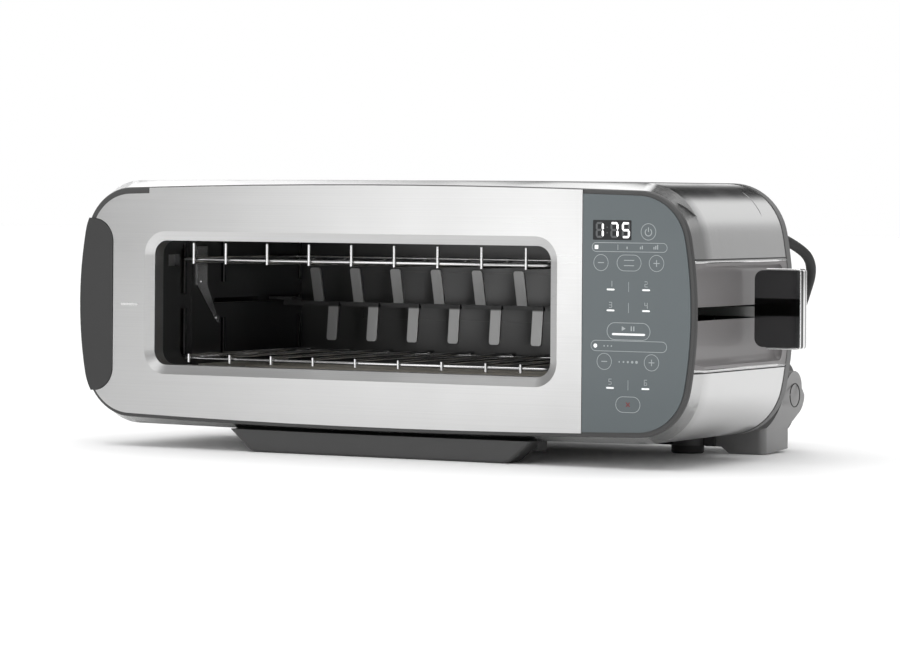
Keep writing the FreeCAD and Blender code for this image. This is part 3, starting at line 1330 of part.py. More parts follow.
def cord_tube(points, name):
    path = route_wire(points)
    tube = cord_pipe(path, points[0], points[1] - points[0])
    ratio = tube.Volume / (math.pi * CORD_RADIUS**2 * path.Length)
    print(name, "length", round(path.Length, 1), "volume over section times length", round(ratio, 4))
    return tube


def coil_point(turn):
    """Point of the coil's centre line, which spirals in, climbs one layer and spirals out again."""
    middle = COIL_TURNS / 2
    radius = COIL_RADIUS - COIL_PITCH * min(turn, COIL_TURNS - turn)
    climb = min(1.0, max(0.0, (turn - middle + 0.25) / 0.5))
    height = CORD_FLOOR_Z + COIL_CLIMB * climb * climb * (3 - 2 * climb)
    angle = math.radians(COIL_START_DEG - 360.0 * turn)
    x, y = COIL_CENTRE[0] + radius * math.cos(angle), COIL_CENTRE[1] + radius * math.sin(angle)
    return Vector(x, y, height)


def coil_tangent(turn):
    step = 0.002
    return (coil_point(min(COIL_TURNS, turn + step)) - coil_point(max(0.0, turn - step))).normalize()


def tangent_arc(start, direction, end):
    """Arc from start, leaving along direction, to end."""
    chord = end - start
    across = chord - direction * chord.dot(direction)
    across.normalize()
    radius = chord.dot(chord) / (2 * chord.dot(across))
    centre = start + across * radius
    middle = centre + ((start + end) * 0.5 - centre).normalize() * radius
    return arc(start, middle, end)


def biarc(start, start_dir, end, end_dir):
    """Two arcs that meet smoothly and have the given directions at both ends."""
    chord = end - start
    total = start_dir + end_dir
    a = 2 * (start_dir.dot(end_dir) - 1)
    b = -2 * chord.dot(total)
    c = chord.dot(chord)
    reach = (-b - math.sqrt(b * b - 4 * a * c)) / (2 * a)
    joint = (start + start_dir * reach + end - end_dir * reach) * 0.5
    return [tangent_arc(start, start_dir, joint), tangent_arc(end, end_dir * -1, joint)]


def coil_ends():
    """Where the coil's pipe starts and ends: one tube diameter straight out from its first and last turn."""
    straight = 2 * CORD_RADIUS
    start_dir, end_dir = coil_tangent(0.0), coil_tangent(COIL_TURNS)
    return coil_point(0.0) - start_dir * straight, coil_point(COIL_TURNS) + end_dir * straight


def cord_coil():
    """The put-away length, wound in two layers as one unbroken pipe."""
    first, last = coil_ends()
    edges = [line(first, coil_point(0.0))]
    for k in range(int(round(COIL_TURNS * COIL_ARCS))):
        a, b = k / COIL_ARCS, (k + 1) / COIL_ARCS
        edges += biarc(coil_point(a), coil_tangent(a), coil_point(b), coil_tangent(b))
    edges.append(line(coil_point(COIL_TURNS), last))
    path = Part.Wire(Part.__sortEdges__(edges))
    print("coil length", round(path.Length, 1))
    print_least_gap()
    return cord_pipe(path, first, coil_tangent(0.0))


def print_least_gap():
    """Least gap between stretches of the coil that lie more than a third of a turn apart."""
    count = 240
    points = [coil_point(COIL_TURNS * k / count) for k in range(count + 1)]
    apart = int(count / COIL_TURNS / 3)
    least = min(
        (points[i] - points[j]).Length for i in range(count + 1) for j in range(i + apart, count + 1)
    )
    print("coil least gap", round(least - 2 * CORD_RADIUS, 2))


def mains_cord():
    start = GLAND_PLACE + relief_direction() * RELIEF_LENGTH
    coil_first = coil_ends()[0]
    approach = coil_first - coil_tangent(0.0) * COIL_APPROACH
    return cord_tube([start] + route_points() + [approach, coil_first], "free cord")


def plug_entry():
    """Where the tail meets the plug, and the way that it points there."""
    last = coil_ends()[1]
    direction = coil_tangent(COIL_TURNS)
    return last + direction * TAIL_LENGTH + Vector(0, 0, PLUG_THICK / 2 - last.z), direction


def cord_tail():
    """Short free stretch from the coil to the plug."""
    last = coil_ends()[1]
    entry, direction = plug_entry()
    third = direction * (TAIL_LENGTH / 3)
    return cord_tube([last, last + third, entry - third, entry], "tail")


def cord_tie():
    """Strap over the coil where it is two turns deep, open underneath."""
    top = CORD_FLOOR_Z + COIL_CLIMB + CORD_RADIUS + TIE_GAP
    roof = top + TIE_SHEET
    y0, y1 = COIL_CENTRE[1] + TIE_INNER_RADIUS, COIL_CENTRE[1] + TIE_OUTER_RADIUS
    x0, x1 = COIL_CENTRE[0] - TIE_WIDTH / 2, COIL_CENTRE[0] + TIE_WIDTH / 2
    strap = box(x0, x1, y0 - TIE_SHEET, y1 + TIE_SHEET, TIE_BOTTOM_Z, roof)
    edges = []
    for edge in strap.Edges:
        if abs(edge.CenterOfMass.z - roof) < 0.01 and edge.Length < TIE_WIDTH + 0.1:
            edges.append(edge)
    return strap.makeFillet(TIE_EDGE, edges).cut(box(x0 - 1, x1 + 1, y0, y1, 0, top))


def at_plug(shape):
    """Moves a shape, drawn with the cord's entry at the origin and the body towards +Y, to the plug."""
    entry, direction = plug_entry()
    angle = math.degrees(math.atan2(direction.y, direction.x)) - 90.0
    shape.rotate(Vector(0, 0, 0), Vector(0, 0, 1), angle)
    shape.translate(Vector(entry.x, entry.y, 0))
    return shape


def plug_body():
    """Three-pin plug lying on its back: shouldered outline and cord boot."""
    half, neck, length = PLUG_WIDTH / 2, PLUG_NECK / 2, PLUG_LENGTH
    points = [Vector(-neck, PLUG_NECK_Y, 0), Vector(neck, PLUG_NECK_Y, 0)]
    points += [Vector(half, PLUG_SHOULDER_Y, 0), Vector(half, length, 0)]
    points += [Vector(-half, length, 0), Vector(-half, PLUG_SHOULDER_Y, 0)]
    body = along_z(round_polygon(points, PLUG_CORNERS), PLUG_THICK)
    body = body.makeFillet(PLUG_EDGE, [e for e in body.Edges if abs(e.CenterOfMass.z) < 0.01])
    middle, way = Vector(0, 0, PLUG_THICK / 2), Vector(0, 1, 0)
    boot = Part.makeCone(CORD_RADIUS + BOOT_SPREAD, BOOT_RADIUS, BOOT_LENGTH, middle, way)
    return at_plug(body.fuse(boot))


def plug_pin(x, y, width, depth, length):
    return box(x, x + width, y, y + depth, PLUG_THICK, PLUG_THICK + length)


def plug_pins():
    """Three flat pins standing up out of the plug's base."""
    long_pin = PIN_LENGTH + EARTH_PIN_EXTRA
    pins = [plug_pin(-EARTH_PIN_WIDTH / 2, EARTH_PIN_Y, EARTH_PIN_WIDTH, EARTH_PIN_DEPTH, long_pin)]
    for x in (-PIN_X - PIN_WIDTH, PIN_X):
        pins.append(plug_pin(x, PIN_Y, PIN_WIDTH, PIN_DEPTH, PIN_LENGTH))
    return at_plug(group(pins))


# Export
def seat_origin(shape):
    """Moves a part from the drawing frame to the part's own frame."""
    moved = shape.copy()
    moved.translate(Vector(0, -(FOOT_FRONT_Y + FOOT_BACK_Y) / 2, 0))
    return moved


NODES = [
    ("front_bezel", front_bezel),
    ("front_panel", front_panel),
    ("left_grip", left_grip),
    ("control_glass", control_glass),
    ("control_board", control_board),
    ("top_wrap", lambda: wrap(True)),
    ("bottom_wrap", lambda: wrap(False)),
    ("right_side_panel", lambda: side_panel(True)),
    ("left_side_panel", left_side_panel),
    ("rear_rim", rear_rim),
    ("rear_cover", rear_cover),
    ("rear_cover_screws", rear_screws),
    ("rear_feet", rear_feet),
    ("tray_rails", tray_rails),
    ("crumb_tray", crumb_tray),
    ("mouth_collar", mouth_collar),
    ("cavity_liner", cavity_liner),
    ("wall_strap", wall_strap),
    ("right_side_frame", lambda: side_frame(1)),
    ("left_side_frame", lambda: side_frame(-1)),
    ("guide_rod", guide_rod),
    ("upper_heaters", lambda: heaters(1)),
    ("lower_heaters", lambda: heaters(-1)),
    ("heater_holders", heater_holders),
    ("upper_reflector", lambda: reflector(1)),
    ("lower_reflector", lambda: reflector(-1)),
    ("upper_guard", lambda: guard(1)),
    ("lower_guard", lambda: guard(-1)),
    ("bread_carriage", bread_carriage),
    ("upper_fingers", upper_fingers),
    ("lower_fingers", lower_fingers),
    ("carriage_slider", carriage_slider),
    ("lever_arm", lever_arm),
    ("lever_paddle", lever_paddle),
    ("lever_trim", lever_trim),
    ("latch_magnet", latch_magnet),
    ("main_board", main_board),
    ("front_foot", front_foot),
    ("foot_bracket", foot_bracket),
    ("hinge_ears", hinge_ears),
    ("hinge_pins", hinge_pins),
    ("stand_bracket_right", stand_bracket),
    ("stand_bracket_left", lambda: mirrored(stand_bracket())),
    ("pivot_caps", pivot_caps),
    ("stand_crossbar", stand_crossbar),
    ("stand_feet", stand_feet),
    ("cord_gland", cord_gland),
    ("strain_relief", strain_relief),
    ("mains_cord", mains_cord),
    ("cord_coil", cord_coil),
    ("cord_tie", cord_tie),
    ("cord_tail", cord_tail),
    ("plug_body", plug_body),
    ("plug_pins", plug_pins),
]

os.makedirs("parts", exist_ok=True)
for node, make in NODES:
    seat_origin(make()).exportStep("parts/" + node + ".step")
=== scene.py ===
"""Looks of the flip-up toaster grill: finishes, control panel, cord, floor, light and camera.

Metres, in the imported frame: X to the right, Y to the back, Z up from the counter.
Helpers take millimetres in the CAD drawing's frame, whose Y 0 is the front face.
"""

import json
import math

import bmesh
import bpy
from mathutils import Matrix, Vector

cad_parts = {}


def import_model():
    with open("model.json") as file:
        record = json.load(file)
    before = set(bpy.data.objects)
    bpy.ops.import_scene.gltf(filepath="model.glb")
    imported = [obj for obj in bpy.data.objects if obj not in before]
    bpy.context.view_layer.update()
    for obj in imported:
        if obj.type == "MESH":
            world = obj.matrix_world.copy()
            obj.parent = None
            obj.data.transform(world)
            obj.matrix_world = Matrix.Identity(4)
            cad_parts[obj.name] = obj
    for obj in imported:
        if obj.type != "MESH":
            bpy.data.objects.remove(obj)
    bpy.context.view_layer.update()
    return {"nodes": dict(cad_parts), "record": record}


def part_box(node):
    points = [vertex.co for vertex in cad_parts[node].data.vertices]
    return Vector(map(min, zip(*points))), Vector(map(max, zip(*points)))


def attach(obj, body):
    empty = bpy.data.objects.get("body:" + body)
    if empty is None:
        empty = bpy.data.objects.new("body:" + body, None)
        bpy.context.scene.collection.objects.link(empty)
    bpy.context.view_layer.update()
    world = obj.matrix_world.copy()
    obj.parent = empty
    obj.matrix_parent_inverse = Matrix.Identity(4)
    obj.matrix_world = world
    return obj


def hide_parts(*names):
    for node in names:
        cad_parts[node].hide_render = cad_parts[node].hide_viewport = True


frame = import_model()

MM = 0.001
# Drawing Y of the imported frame's origin, the middle of the front foot
FOOT_MIDDLE = 12.0
HOUSING = "housing"

# Front face of the fascia and control glass, in drawing millimetres
FACE_Y = -0.8
PRINT_THICK = 0.06
PRINT_SINK = 0.05


def at(x, y, z):
    """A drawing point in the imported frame, in metres."""
    return Vector((x, y - FOOT_MIDDLE, z)) * MM


# Share of a noise that is stretched over the whole drift of a colour or roughness
NOISE_LOW, NOISE_HIGH = 0.15, 0.85


class Finish:
    """A Principled material and short calls that add detail to it."""

    def __init__(self, name, colour, roughness, metallic=0.0):
        self.material = bpy.data.materials.new(name)
        self.material.use_nodes = True
        self.tree = self.material.node_tree
        self.shader = self.tree.nodes["Principled BSDF"]
        self.put("Base Color", (*colour, 1.0))
        self.put("Roughness", roughness)
        self.put("Metallic", metallic)
        self.colour = colour
        self.roughness = roughness

    def put(self, socket, value):
        self.shader.inputs[socket].default_value = value

    def node(self, kind, links=None, **values):
        """A node of that kind with socket values by position or name, and links into its sockets."""
        made = self.tree.nodes.new(kind)
        for key, value in values.items():
            setattr(made, key, value)
        for socket, source in (links or {}).items():
            if hasattr(source, "is_output"):
                self.tree.links.new(source, made.inputs[socket])
            else:
                made.inputs[socket].default_value = source
        return made

    def place(self, scale=(1.0, 1.0, 1.0)):
        """Object coordinates, stretched by scale."""
        coordinates = self.node("ShaderNodeTexCoord").outputs["Object"]
        mapping = self.node("ShaderNodeMapping", {"Vector": coordinates, "Scale": scale})
        return mapping.outputs["Vector"]

    def noise(self, size, scale=(1.0, 1.0, 1.0), detail=3.0, rough=0.5):
        """Noise with features about size metres across before the stretch."""
        links = {"Vector": self.place(scale), "Scale": 1.0 / size, "Detail": detail, "Roughness": rough}
        return self.node("ShaderNodeTexNoise", links).outputs["Fac"]

    def xyz(self, vector):
        return self.node("ShaderNodeSeparateXYZ", {"Vector": vector}).outputs

    def product(self, first, second):
        return self.node("ShaderNodeMath", {0: first, 1: second}, operation="MULTIPLY").outputs[0]

    def range(self, value, low, high, start=0.0, end=1.0):
        """Value mapped from low..high to start..end, and held beyond them."""
        links = {"Value": value, "From Min": low, "From Max": high, "To Min": start, "To Max": end}
        return self.node("ShaderNodeMapRange", links).outputs["Result"]

    def stripe(self, value, low, high, blur):
        """1 between low and high and 0 outside, fading over blur to each side of both."""
        rise = self.range(value, low - blur, low + blur)
        fall = self.range(value, high - blur, high + blur, 1.0, 0.0)
        return self.product(rise, fall)

    def mix(self, factor, first, second):
        """Colour between two colours, each a tuple or an output."""
        made = self.node("ShaderNodeMix", {0: factor}, data_type="RGBA")
        for socket, colour in ((6, first), (7, second)):
            if hasattr(colour, "is_output"):
                self.tree.links.new(colour, made.inputs[socket])
            else:
                made.inputs[socket].default_value = (*colour, 1.0)
        return made.outputs[2]

    def link(self, socket, source):
        self.tree.links.new(source, self.shader.inputs[socket])

    def shades(self, amount):
        """The base colour made darker and lighter by a share of it."""
        return [[min(1.0, c * (1 + change)) for c in self.colour] for change in (-amount, amount)]

    def mottle(self, size, amount):
        """Colour that drifts by amount round the base colour."""
        fac = self.range(self.noise(size), NOISE_LOW, NOISE_HIGH)
        self.link("Base Color", self.mix(fac, *self.shades(amount)))

    def scuff(self, size, amount):
        """Roughness that drifts by amount round the base roughness."""
        low, high = max(0.02, self.roughness - amount), min(1.0, self.roughness + amount)
        fac = self.noise(size, detail=2.0)
        self.link("Roughness", self.range(fac, NOISE_LOW, NOISE_HIGH, low, high))

    def grain(self, size, height, strength):
        """Bump of noise, size and height in metres."""
        fac = self.noise(size, detail=2.0)
        bump = self.node("ShaderNodeBump", {"Strength": strength, "Distance": height, "Height": fac})
        self.link("Normal", bump.outputs["Normal"])


def moulded(name, colour, roughness, size=0.0006, height=0.00006):
    """Satin moulded plastic with a fine spark grain."""
    made = Finish(name, colour, roughness)
    made.mottle(0.03, 0.04)
    made.scuff(0.02, 0.03)
    made.grain(size, height, 0.5)
    return made.material


def brushed_finish(name, colour, roughness, scale, mottle):
    """Brushed metal grained along the axis with the small scale, with its colour and its bump."""
    made = Finish(name, colour, roughness, 1.0)
    streaks = made.range(made.noise(STREAK_SIZE, scale, 6.0, 0.65), 0.25, 0.75)
    clouds = made.range(made.noise(CLOUD_SIZE, detail=2.0), 0.3, 0.7)
    tone = made.mix(streaks, *made.shades(mottle))
    made.link("Base Color", tone)
    both = made.node("ShaderNodeMath", {0: streaks, 1: clouds}, operation="ADD").outputs[0]
    low, high = roughness - BRUSHED_DRIFT, roughness + BRUSHED_DRIFT
    made.link("Roughness", made.range(both, 0.3, 1.7, low, high))
    links = {"Strength": 0.25, "Distance": BRUSHED_HEIGHT, "Height": streaks}
    bump = made.node("ShaderNodeBump", links)
    made.link("Normal", bump.outputs["Normal"])
    return made, tone, bump


def wrap_steel():
    """Steel of the skin, grained round the body, with painted shade and painted light so that its front
    flare shows less.

    Where the skin turns to the side, the flare is lit as if it had no slope in depth, and painted shade
    darkens it.
    On the top, painted light makes it paler towards the left, where it stands above the photograph's
    outline. The shape itself isn't changed.
    """
    made, tone, bump = brushed_finish("brushed_steel_wrap", (0.62, 0.62, 0.618), 0.2, ROUND_Y, 0.03)
    normal = made.xyz(made.node("ShaderNodeNewGeometry").outputs["Normal"])
    aside = made.node("ShaderNodeMath", {0: normal["X"]}, operation="ABSOLUTE").outputs[0]
    depth = made.product(normal["Y"], made.range(aside, *FLARE_LEVELLED, 1.0, 0.0))
    flat = made.node("ShaderNodeCombineXYZ", {"X": normal["X"], "Y": depth, "Z": normal["Z"]})
    even = made.node("ShaderNodeVectorMath", {0: flat.outputs[0]}, operation="NORMALIZE")
    made.tree.links.new(even.outputs[0], bump.inputs["Normal"])

    # Painted shade: the flare's front is darkened where the skin turns aside, more towards the top
    place = made.xyz(made.place())
    front = made.range(place["Y"], *FLARE_SHADE_Y, 1.0, 0.0)
    shade = made.product(front, made.range(aside, *FLARE_ASIDE))
    strength = made.range(place["Z"], *RECESS_HEIGHTS, FLARE_SHADE_LOW, FLARE_SHADE_HIGH)
    tone = made.mix(made.product(shade, strength), tone, (0.0, 0.0, 0.0))
    # Painted light: the flare's front is painted near white towards the left of the top
    flare = made.range(place["Y"], *FLARE_END_Y, 1.0, 0.0)
    painted_light = made.product(flare, made.range(place["X"], *FLARE_PAINTED_LIGHT_X))
    painted_light = made.product(painted_light, made.range(place["Z"], *FLARE_PAINTED_LIGHT_Z))
    made.link("Base Color", made.mix(painted_light, tone, FLARE_PAINTED_LIGHT))
    return made.material


def glossy(name, colour, roughness, coat):
    made = Finish(name, colour, roughness)
    made.put("Coat Weight", coat)
    made.put("Coat Roughness", 0.05)
    made.mottle(0.08, 0.02)
    made.scuff(0.08, 0.01)
    return made.material


def sheen_plastic(name, colour, roughness):
    """Dark plastic that mirrors its surroundings at a slant."""
    made = Finish(name, colour, roughness)
    made.put("IOR", 1.85)
    made.put("Coat Weight", 0.4)
    made.put("Coat Roughness", 0.3)
    made.mottle(0.03, 0.04)
    made.scuff(0.02, 0.02)
    made.grain(0.0006, 0.00005, 0.4)
    return made.material


def bright_metal(name, colour, roughness):
    made = Finish(name, colour, roughness, 1.0)
    made.scuff(0.02, 0.03)
    made.mottle(0.03, 0.04)
    return made.material


def rubber(name, colour):
    made = Finish(name, colour, 0.62)
    made.put("Specular IOR Level", 0.35)
    made.mottle(0.01, 0.15)
    made.grain(0.0012, 0.00008, 0.5)
    return made.material


def coated_sheet(name, colour, roughness, metallic=0.85):
    """Dark heat-resistant sheet with faint heat tint."""
    made = Finish(name, colour, roughness, metallic)
    made.scuff(0.06, 0.03)
    fac = made.range(made.noise(0.09, detail=1.0), 0.2, 0.8)
    made.link("Base Color", made.mix(fac, colour, [c * 1.12 for c in colour]))
    return made.material


def quartz(name, colour):
    """Milky tube that lets a little light through."""
    made = Finish(name, colour, 0.18)
    made.put("Transmission Weight", 0.35)
    made.put("IOR", 1.46)
    made.scuff(0.01, 0.06)
    made.mottle(0.004, 0.08)
    return made.material


def board(name, colour):
    """Green board with lighter tracks."""
    made = Finish(name, colour, 0.35)
    tracks = made.range(made.noise(0.004, (1.0, 4.0, 1.0), 1.0), 0.54, 0.56)
    lighter = [c * gain for c, gain in zip(colour, (2.2, 1.7, 1.8))]
    made.link("Base Color", made.mix(tracks, colour, lighter))
    return made.material


def glowing(name, colour, strength):
    made = Finish(name, colour, 0.4)
    made.put("Emission Color", (*colour, 1.0))
    made.put("Emission Strength", strength)
    made.mottle(0.003, 0.03)
    return made.material


def coated_comb():
    """Comb steel whose web, above its fingers, is painted as dark as the photograph shows it."""
    # What makes the web dark is not known; the darker colour above the fingers is only painted
    made = Finish("dark_web_comb", COMB_STEEL, 0.42, 0.9)
    made.scuff(0.06, 0.03)
    web = made.range(made.xyz(made.place())["Z"], *COMB_WEB_Z)
    made.link("Base Color", made.mix(web, COMB_STEEL, COMB_WEB_DARK))
    return made.material


def folded_trim():
    """Bright trim with painted reflections: dark upright stripes on its outer face."""
    made = Finish("folded_bright_trim", TRIM_BRIGHT, 0.12, 1.0)
    place = made.xyz(made.place())
    outer = made.range(place["X"], TRIM_FACE_X - STRIPE_BLUR, TRIM_FACE_X)
    colour = TRIM_BRIGHT
    for low, high in TRIM_REFLECTION_STRIPES_Y:
        stripe = made.product(made.stripe(place["Y"], low, high, STRIPE_BLUR), outer)
        colour = made.mix(stripe, colour, TRIM_REFLECTION_DARK)
    made.link("Base Color", colour)
    return made.material


def reflection_banded_paddle():
    """Gloss black with a deeper, duller band at the slot's height, painted as a reflection."""
    made = Finish("gloss_black_painted_reflection", PADDLE_BLACK, 0.1)
    band = made.stripe(made.xyz(made.place())["Z"], *PADDLE_REFLECTION_Z, STRIPE_BLUR)
    made.link("Base Color", made.mix(band, PADDLE_BLACK, PADDLE_REFLECTION_DARK))
    made.link("Specular IOR Level", made.range(band, 0.0, 1.0, 0.6, 0.1))
    made.link("Coat Weight", made.range(band, 0.0, 1.0, 0.6, 0.0))
    return made.material


# Stretch of a brushed grain
ALONG_X = (0.02, 1.0, 6.0)
ROUND_Y = (0.03, 6.0, 0.03)
STREAK_SIZE, CLOUD_SIZE = 0.004, 0.09
BRUSHED_DRIFT, BRUSHED_HEIGHT = 0.06, 0.00002

# Flare of the skin, in metres of the imported frame: how far its normal turns aside, and where its
# painted shade and painted light lie
FLARE_LEVELLED = (0.02, 0.3)
FLARE_ASIDE = (0.12, 0.45)
FLARE_SHADE_Y = (0.001, 0.012)
FLARE_END_Y = (0.002, 0.004)
FLARE_PAINTED_LIGHT_X = (0.03, -0.12)
FLARE_PAINTED_LIGHT_Z = (0.135, 0.17)
FLARE_PAINTED_LIGHT = (0.95, 0.95, 0.95)
FLARE_SHADE_LOW, FLARE_SHADE_HIGH = 0.14, 0.42
RECESS_HEIGHTS = (0.064, 0.134)

# Fades inside one piece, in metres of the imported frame
STRIPE_BLUR = 0.0003
TRIM_FACE_X = 0.2728
# Painted reflections on the trim's outer face: dark stripes across these depths
TRIM_REFLECTION_STRIPES_Y = ((0.0697, 0.0728), (0.0758, 0.0768))
TRIM_BRIGHT, TRIM_REFLECTION_DARK = (0.85, 0.85, 0.85), (0.03, 0.03, 0.03)
# Painted reflection on the paddle: a dark band at the slot's height
PADDLE_REFLECTION_Z = (0.098, 0.1095)
PADDLE_BLACK, PADDLE_REFLECTION_DARK = (0.02, 0.02, 0.021), (0.002, 0.002, 0.002)
COMB_WEB_Z = (0.0936, 0.0948)
COMB_STEEL, COMB_WEB_DARK = (0.5, 0.5, 0.497), (0.07, 0.07, 0.07)

BRUSHED_FACE = brushed_finish("brushed_steel_face", (0.57, 0.57, 0.568), 0.33, ALONG_X, 0.05)[0]

FINISHES = {
    "dark_frame": moulded("satin_dark_frame", (0.058, 0.058, 0.058), 0.45),
    "brushed_steel": BRUSHED_FACE.material,
    "dark_grip": moulded("satin_dark_grip", (0.032, 0.032, 0.032), 0.45),
    "control_glass": glossy("teal_control_glass", (0.098, 0.12, 0.128), 0.34, 0.15),
    "circuit_board": board("green_board", (0.03, 0.14, 0.07)),
    "side_plastic": glossy("warm_grey_side", (0.2, 0.191, 0.192), 0.42, 0.2),
    "rim_plastic": moulded("satin_rim", (0.12, 0.12, 0.12), 0.42),
    "screw_steel": bright_metal("turned_steel", (0.55, 0.55, 0.56), 0.3),
    "foot_rubber": rubber("foot_rubber", (0.03, 0.03, 0.03)),
    "liner_steel": coated_sheet("coated_liner", (0.1, 0.1, 0.1), 0.34),
    "tray_aluminium": bright_metal("aluminised_sheet", (0.6, 0.6, 0.6), 0.36),
    "guard_chrome": bright_metal("polished_wire", (0.74, 0.74, 0.74), 0.2),
    "frame_steel": coated_sheet("carriage_sheet", (0.6, 0.6, 0.597), 0.42, 0.9),
    "heater_glass": quartz("milky_quartz", (0.85, 0.8, 0.72)),
    "heater_ceramic": moulded("unglazed_ceramic", (0.7, 0.68, 0.62), 0.8, 0.0008, 0.0001),
    "slider_plastic": moulded("slider_plastic", (0.08, 0.08, 0.08), 0.4),
    "lever_gloss": reflection_banded_paddle(),
    "lever_chrome": folded_trim(),
    "stand_plastic": sheen_plastic("satin_stand", (0.15, 0.148, 0.148), 0.42),
    "cord_rubber": rubber("cord_cover", (0.02, 0.02, 0.02)),
    "cord_tie_plastic": moulded("tie_strap", (0.05, 0.05, 0.05), 0.6, 0.0012, 0.0002),
    "plug_plastic": moulded("plug_body_plastic", (0.025, 0.025, 0.026), 0.3),
    "plug_brass": bright_metal("plated_pins", (0.75, 0.68, 0.5), 0.22),
}
WRAP_STEEL = wrap_steel()
# Nodes that look unlike the rest of their slot
NODE_FINISHES = {
    "top_wrap": WRAP_STEEL,
    "bottom_wrap": WRAP_STEEL,
    "lower_fingers": coated_comb(),
    # The carriage is painted darker than the other frame steel; what makes it dark is not known
    "bread_carriage": moulded("dark_carriage", (0.05, 0.05, 0.05), 0.4),
}

for subpart in frame["record"]["subparts"]:
    name, slot = subpart["node"], subpart["material_slot"]
    materials = frame["nodes"][name].data.materials
    materials.clear()
    materials.append(NODE_FINISHES.get(name, FINISHES[slot]))


WELD_DISTANCE = 0.00002


def soften(name, angle_deg):
    """Shades a node smooth over every edge that turns less than the angle."""
    group = bpy.data.node_groups.new("soften_" + name, "GeometryNodeTree")
    group.interface.new_socket("Geometry", in_out="INPUT", socket_type="NodeSocketGeometry")
    group.interface.new_socket("Geometry", in_out="OUTPUT", socket_type="NodeSocketGeometry")
    nodes, link = group.nodes, group.links.new
    start, end = nodes.new("NodeGroupInput"), nodes.new("NodeGroupOutput")
    plain = nodes.new("GeometryNodeRemoveAttribute")
    plain.inputs["Name"].default_value = "custom_normal"
    weld = nodes.new("GeometryNodeMergeByDistance")
    weld.inputs["Distance"].default_value = WELD_DISTANCE
    edges = nodes.new("GeometryNodeSetShadeSmooth")
    edges.domain = "EDGE"
    faces = nodes.new("GeometryNodeSetShadeSmooth")
    turn = nodes.new("GeometryNodeInputMeshEdgeAngle")
    small = nodes.new("FunctionNodeCompare")
    small.operation = "LESS_THAN"
    small.inputs["B"].default_value = math.radians(angle_deg)
    link(start.outputs["Geometry"], plain.inputs["Geometry"])
    link(plain.outputs["Geometry"], weld.inputs["Geometry"])
    link(weld.outputs["Geometry"], edges.inputs["Geometry"])
    link(turn.outputs["Unsigned Angle"], small.inputs["A"])
    link(small.outputs["Result"], edges.inputs["Shade Smooth"])
    link(edges.outputs["Geometry"], faces.inputs["Geometry"])
    link(faces.outputs["Geometry"], end.inputs["Geometry"])
    modifier = frame["nodes"][name].modifiers.new("soften", "NODES")
    modifier.node_group = group


# Angle in degrees below which an edge of the node is shaded smooth
SOFT_EDGES = {
    "upper_guard": 50,
    "lower_guard": 50,
    "top_wrap": 24,
    "bottom_wrap": 24,
    "front_bezel": 30,
    "lever_trim": 30,
}
for name, angle in SOFT_EDGES.items():
    soften(name, angle)

# The trim's folded edges are broken, so they draw thin lines
edge = frame["nodes"]["lever_trim"].modifiers.new("edge", "BEVEL")
edge.width, edge.segments = 0.0005, 3
edge.limit_method, edge.angle_limit = "ANGLE", math.radians(50)


# Pieces made as meshes
def piece(name, bm, material, body=HOUSING, smooth=True):
    """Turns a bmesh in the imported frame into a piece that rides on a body."""
    bmesh.ops.recalc_face_normals(bm, faces=bm.faces)
    mesh = bpy.data.meshes.new(name)
    bm.to_mesh(mesh)
    bm.free()
    mesh.materials.append(material)
    for face in mesh.polygons:
        face.use_smooth = smooth
    made = bpy.data.objects.new(name, mesh)
    bpy.context.scene.collection.objects.link(made)
    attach(made, body)
    return made


def prism(bm, outline, y0, y1):
    """Adds a closed prism of an outline of drawing (x, z) points between two depths."""
    front = [bm.verts.new(at(x, y0, z)) for x, z in outline]
    back = [bm.verts.new(at(x, y1, z)) for x, z in outline]
    bm.faces.new(front)
    bm.faces.new(back[::-1])
    count = len(outline)
    for i in range(count):
        j = (i + 1) % count
        bm.faces.new([front[j], front[i], back[i], back[j]])


def band(bm, outer, inner, y0, y1):
    """Adds a closed band between two outlines with the same number of points."""
    rings = [[bm.verts.new(at(x, y, z)) for x, z in ring] for y in (y0, y1) for ring in (outer, inner)]
    front_outer, front_inner, back_outer, back_inner = rings
    around = [front_outer, front_inner, back_inner, back_outer, front_outer]
    count = len(outer)
    for first, second in zip(around, around[1:]):
        for i in range(count):
            j = (i + 1) % count
            bm.faces.new([first[i], first[j], second[j], second[i]])


def pill(x, z, width, height, radius=None, steps=8):
    """Rounded rectangle of (x, z) points about a centre; by default its ends are half circles."""
    radius = min(width, height) / 2 if radius is None else radius
    points = []
    for quarter, (sx, sz) in enumerate(((1, 1), (-1, 1), (-1, -1), (1, -1))):
        cx = x + sx * (width / 2 - radius)
        cz = z + sz * (height / 2 - radius)
        for k in range(steps + 1):
            angle = math.pi / 2 * (quarter + k / steps)
            points.append((cx + radius * math.cos(angle), cz + radius * math.sin(angle)))
    return points


def pill_line(bm, x, z, width, height, line=0.35):
    """Outline of a pill, line millimetres wide."""
    outer = pill(x, z, width + line, height + line)
    inner = pill(x, z, width - line, height - line)
    band(bm, outer, inner, PRINT_FRONT, PRINT_BACK)


def mark(bm, x, z, width, height, radius=None):
    """Printed rounded bar or dot on the control face."""
    prism(bm, pill(x, z, width, height, radius, 4), PRINT_FRONT, PRINT_BACK)


PRINT_FRONT = FACE_Y - PRINT_THICK
PRINT_BACK = FACE_Y + PRINT_SINK

PRINT_PAINT = moulded("panel_print", (0.42, 0.45, 0.46), 0.4)
LIGHT_PAINT = glowing("panel_light", (0.95, 0.96, 0.96), 0.25)
WINDOW_PAINT = moulded("display_window_glass", (0.03, 0.031, 0.033), 0.55)
window_shader = WINDOW_PAINT.node_tree.nodes["Principled BSDF"]
window_shader.inputs["Specular IOR Level"].default_value = 0.2
DIGIT_PAINT = glowing("display_digit", (1.0, 1.0, 1.0), 0.9)
DIM_PAINT = moulded("display_idle_digit", (0.1, 0.105, 0.108), 0.4)
CANCEL_PAINT = moulded("cancel_print", (0.2, 0.03, 0.035), 0.4)

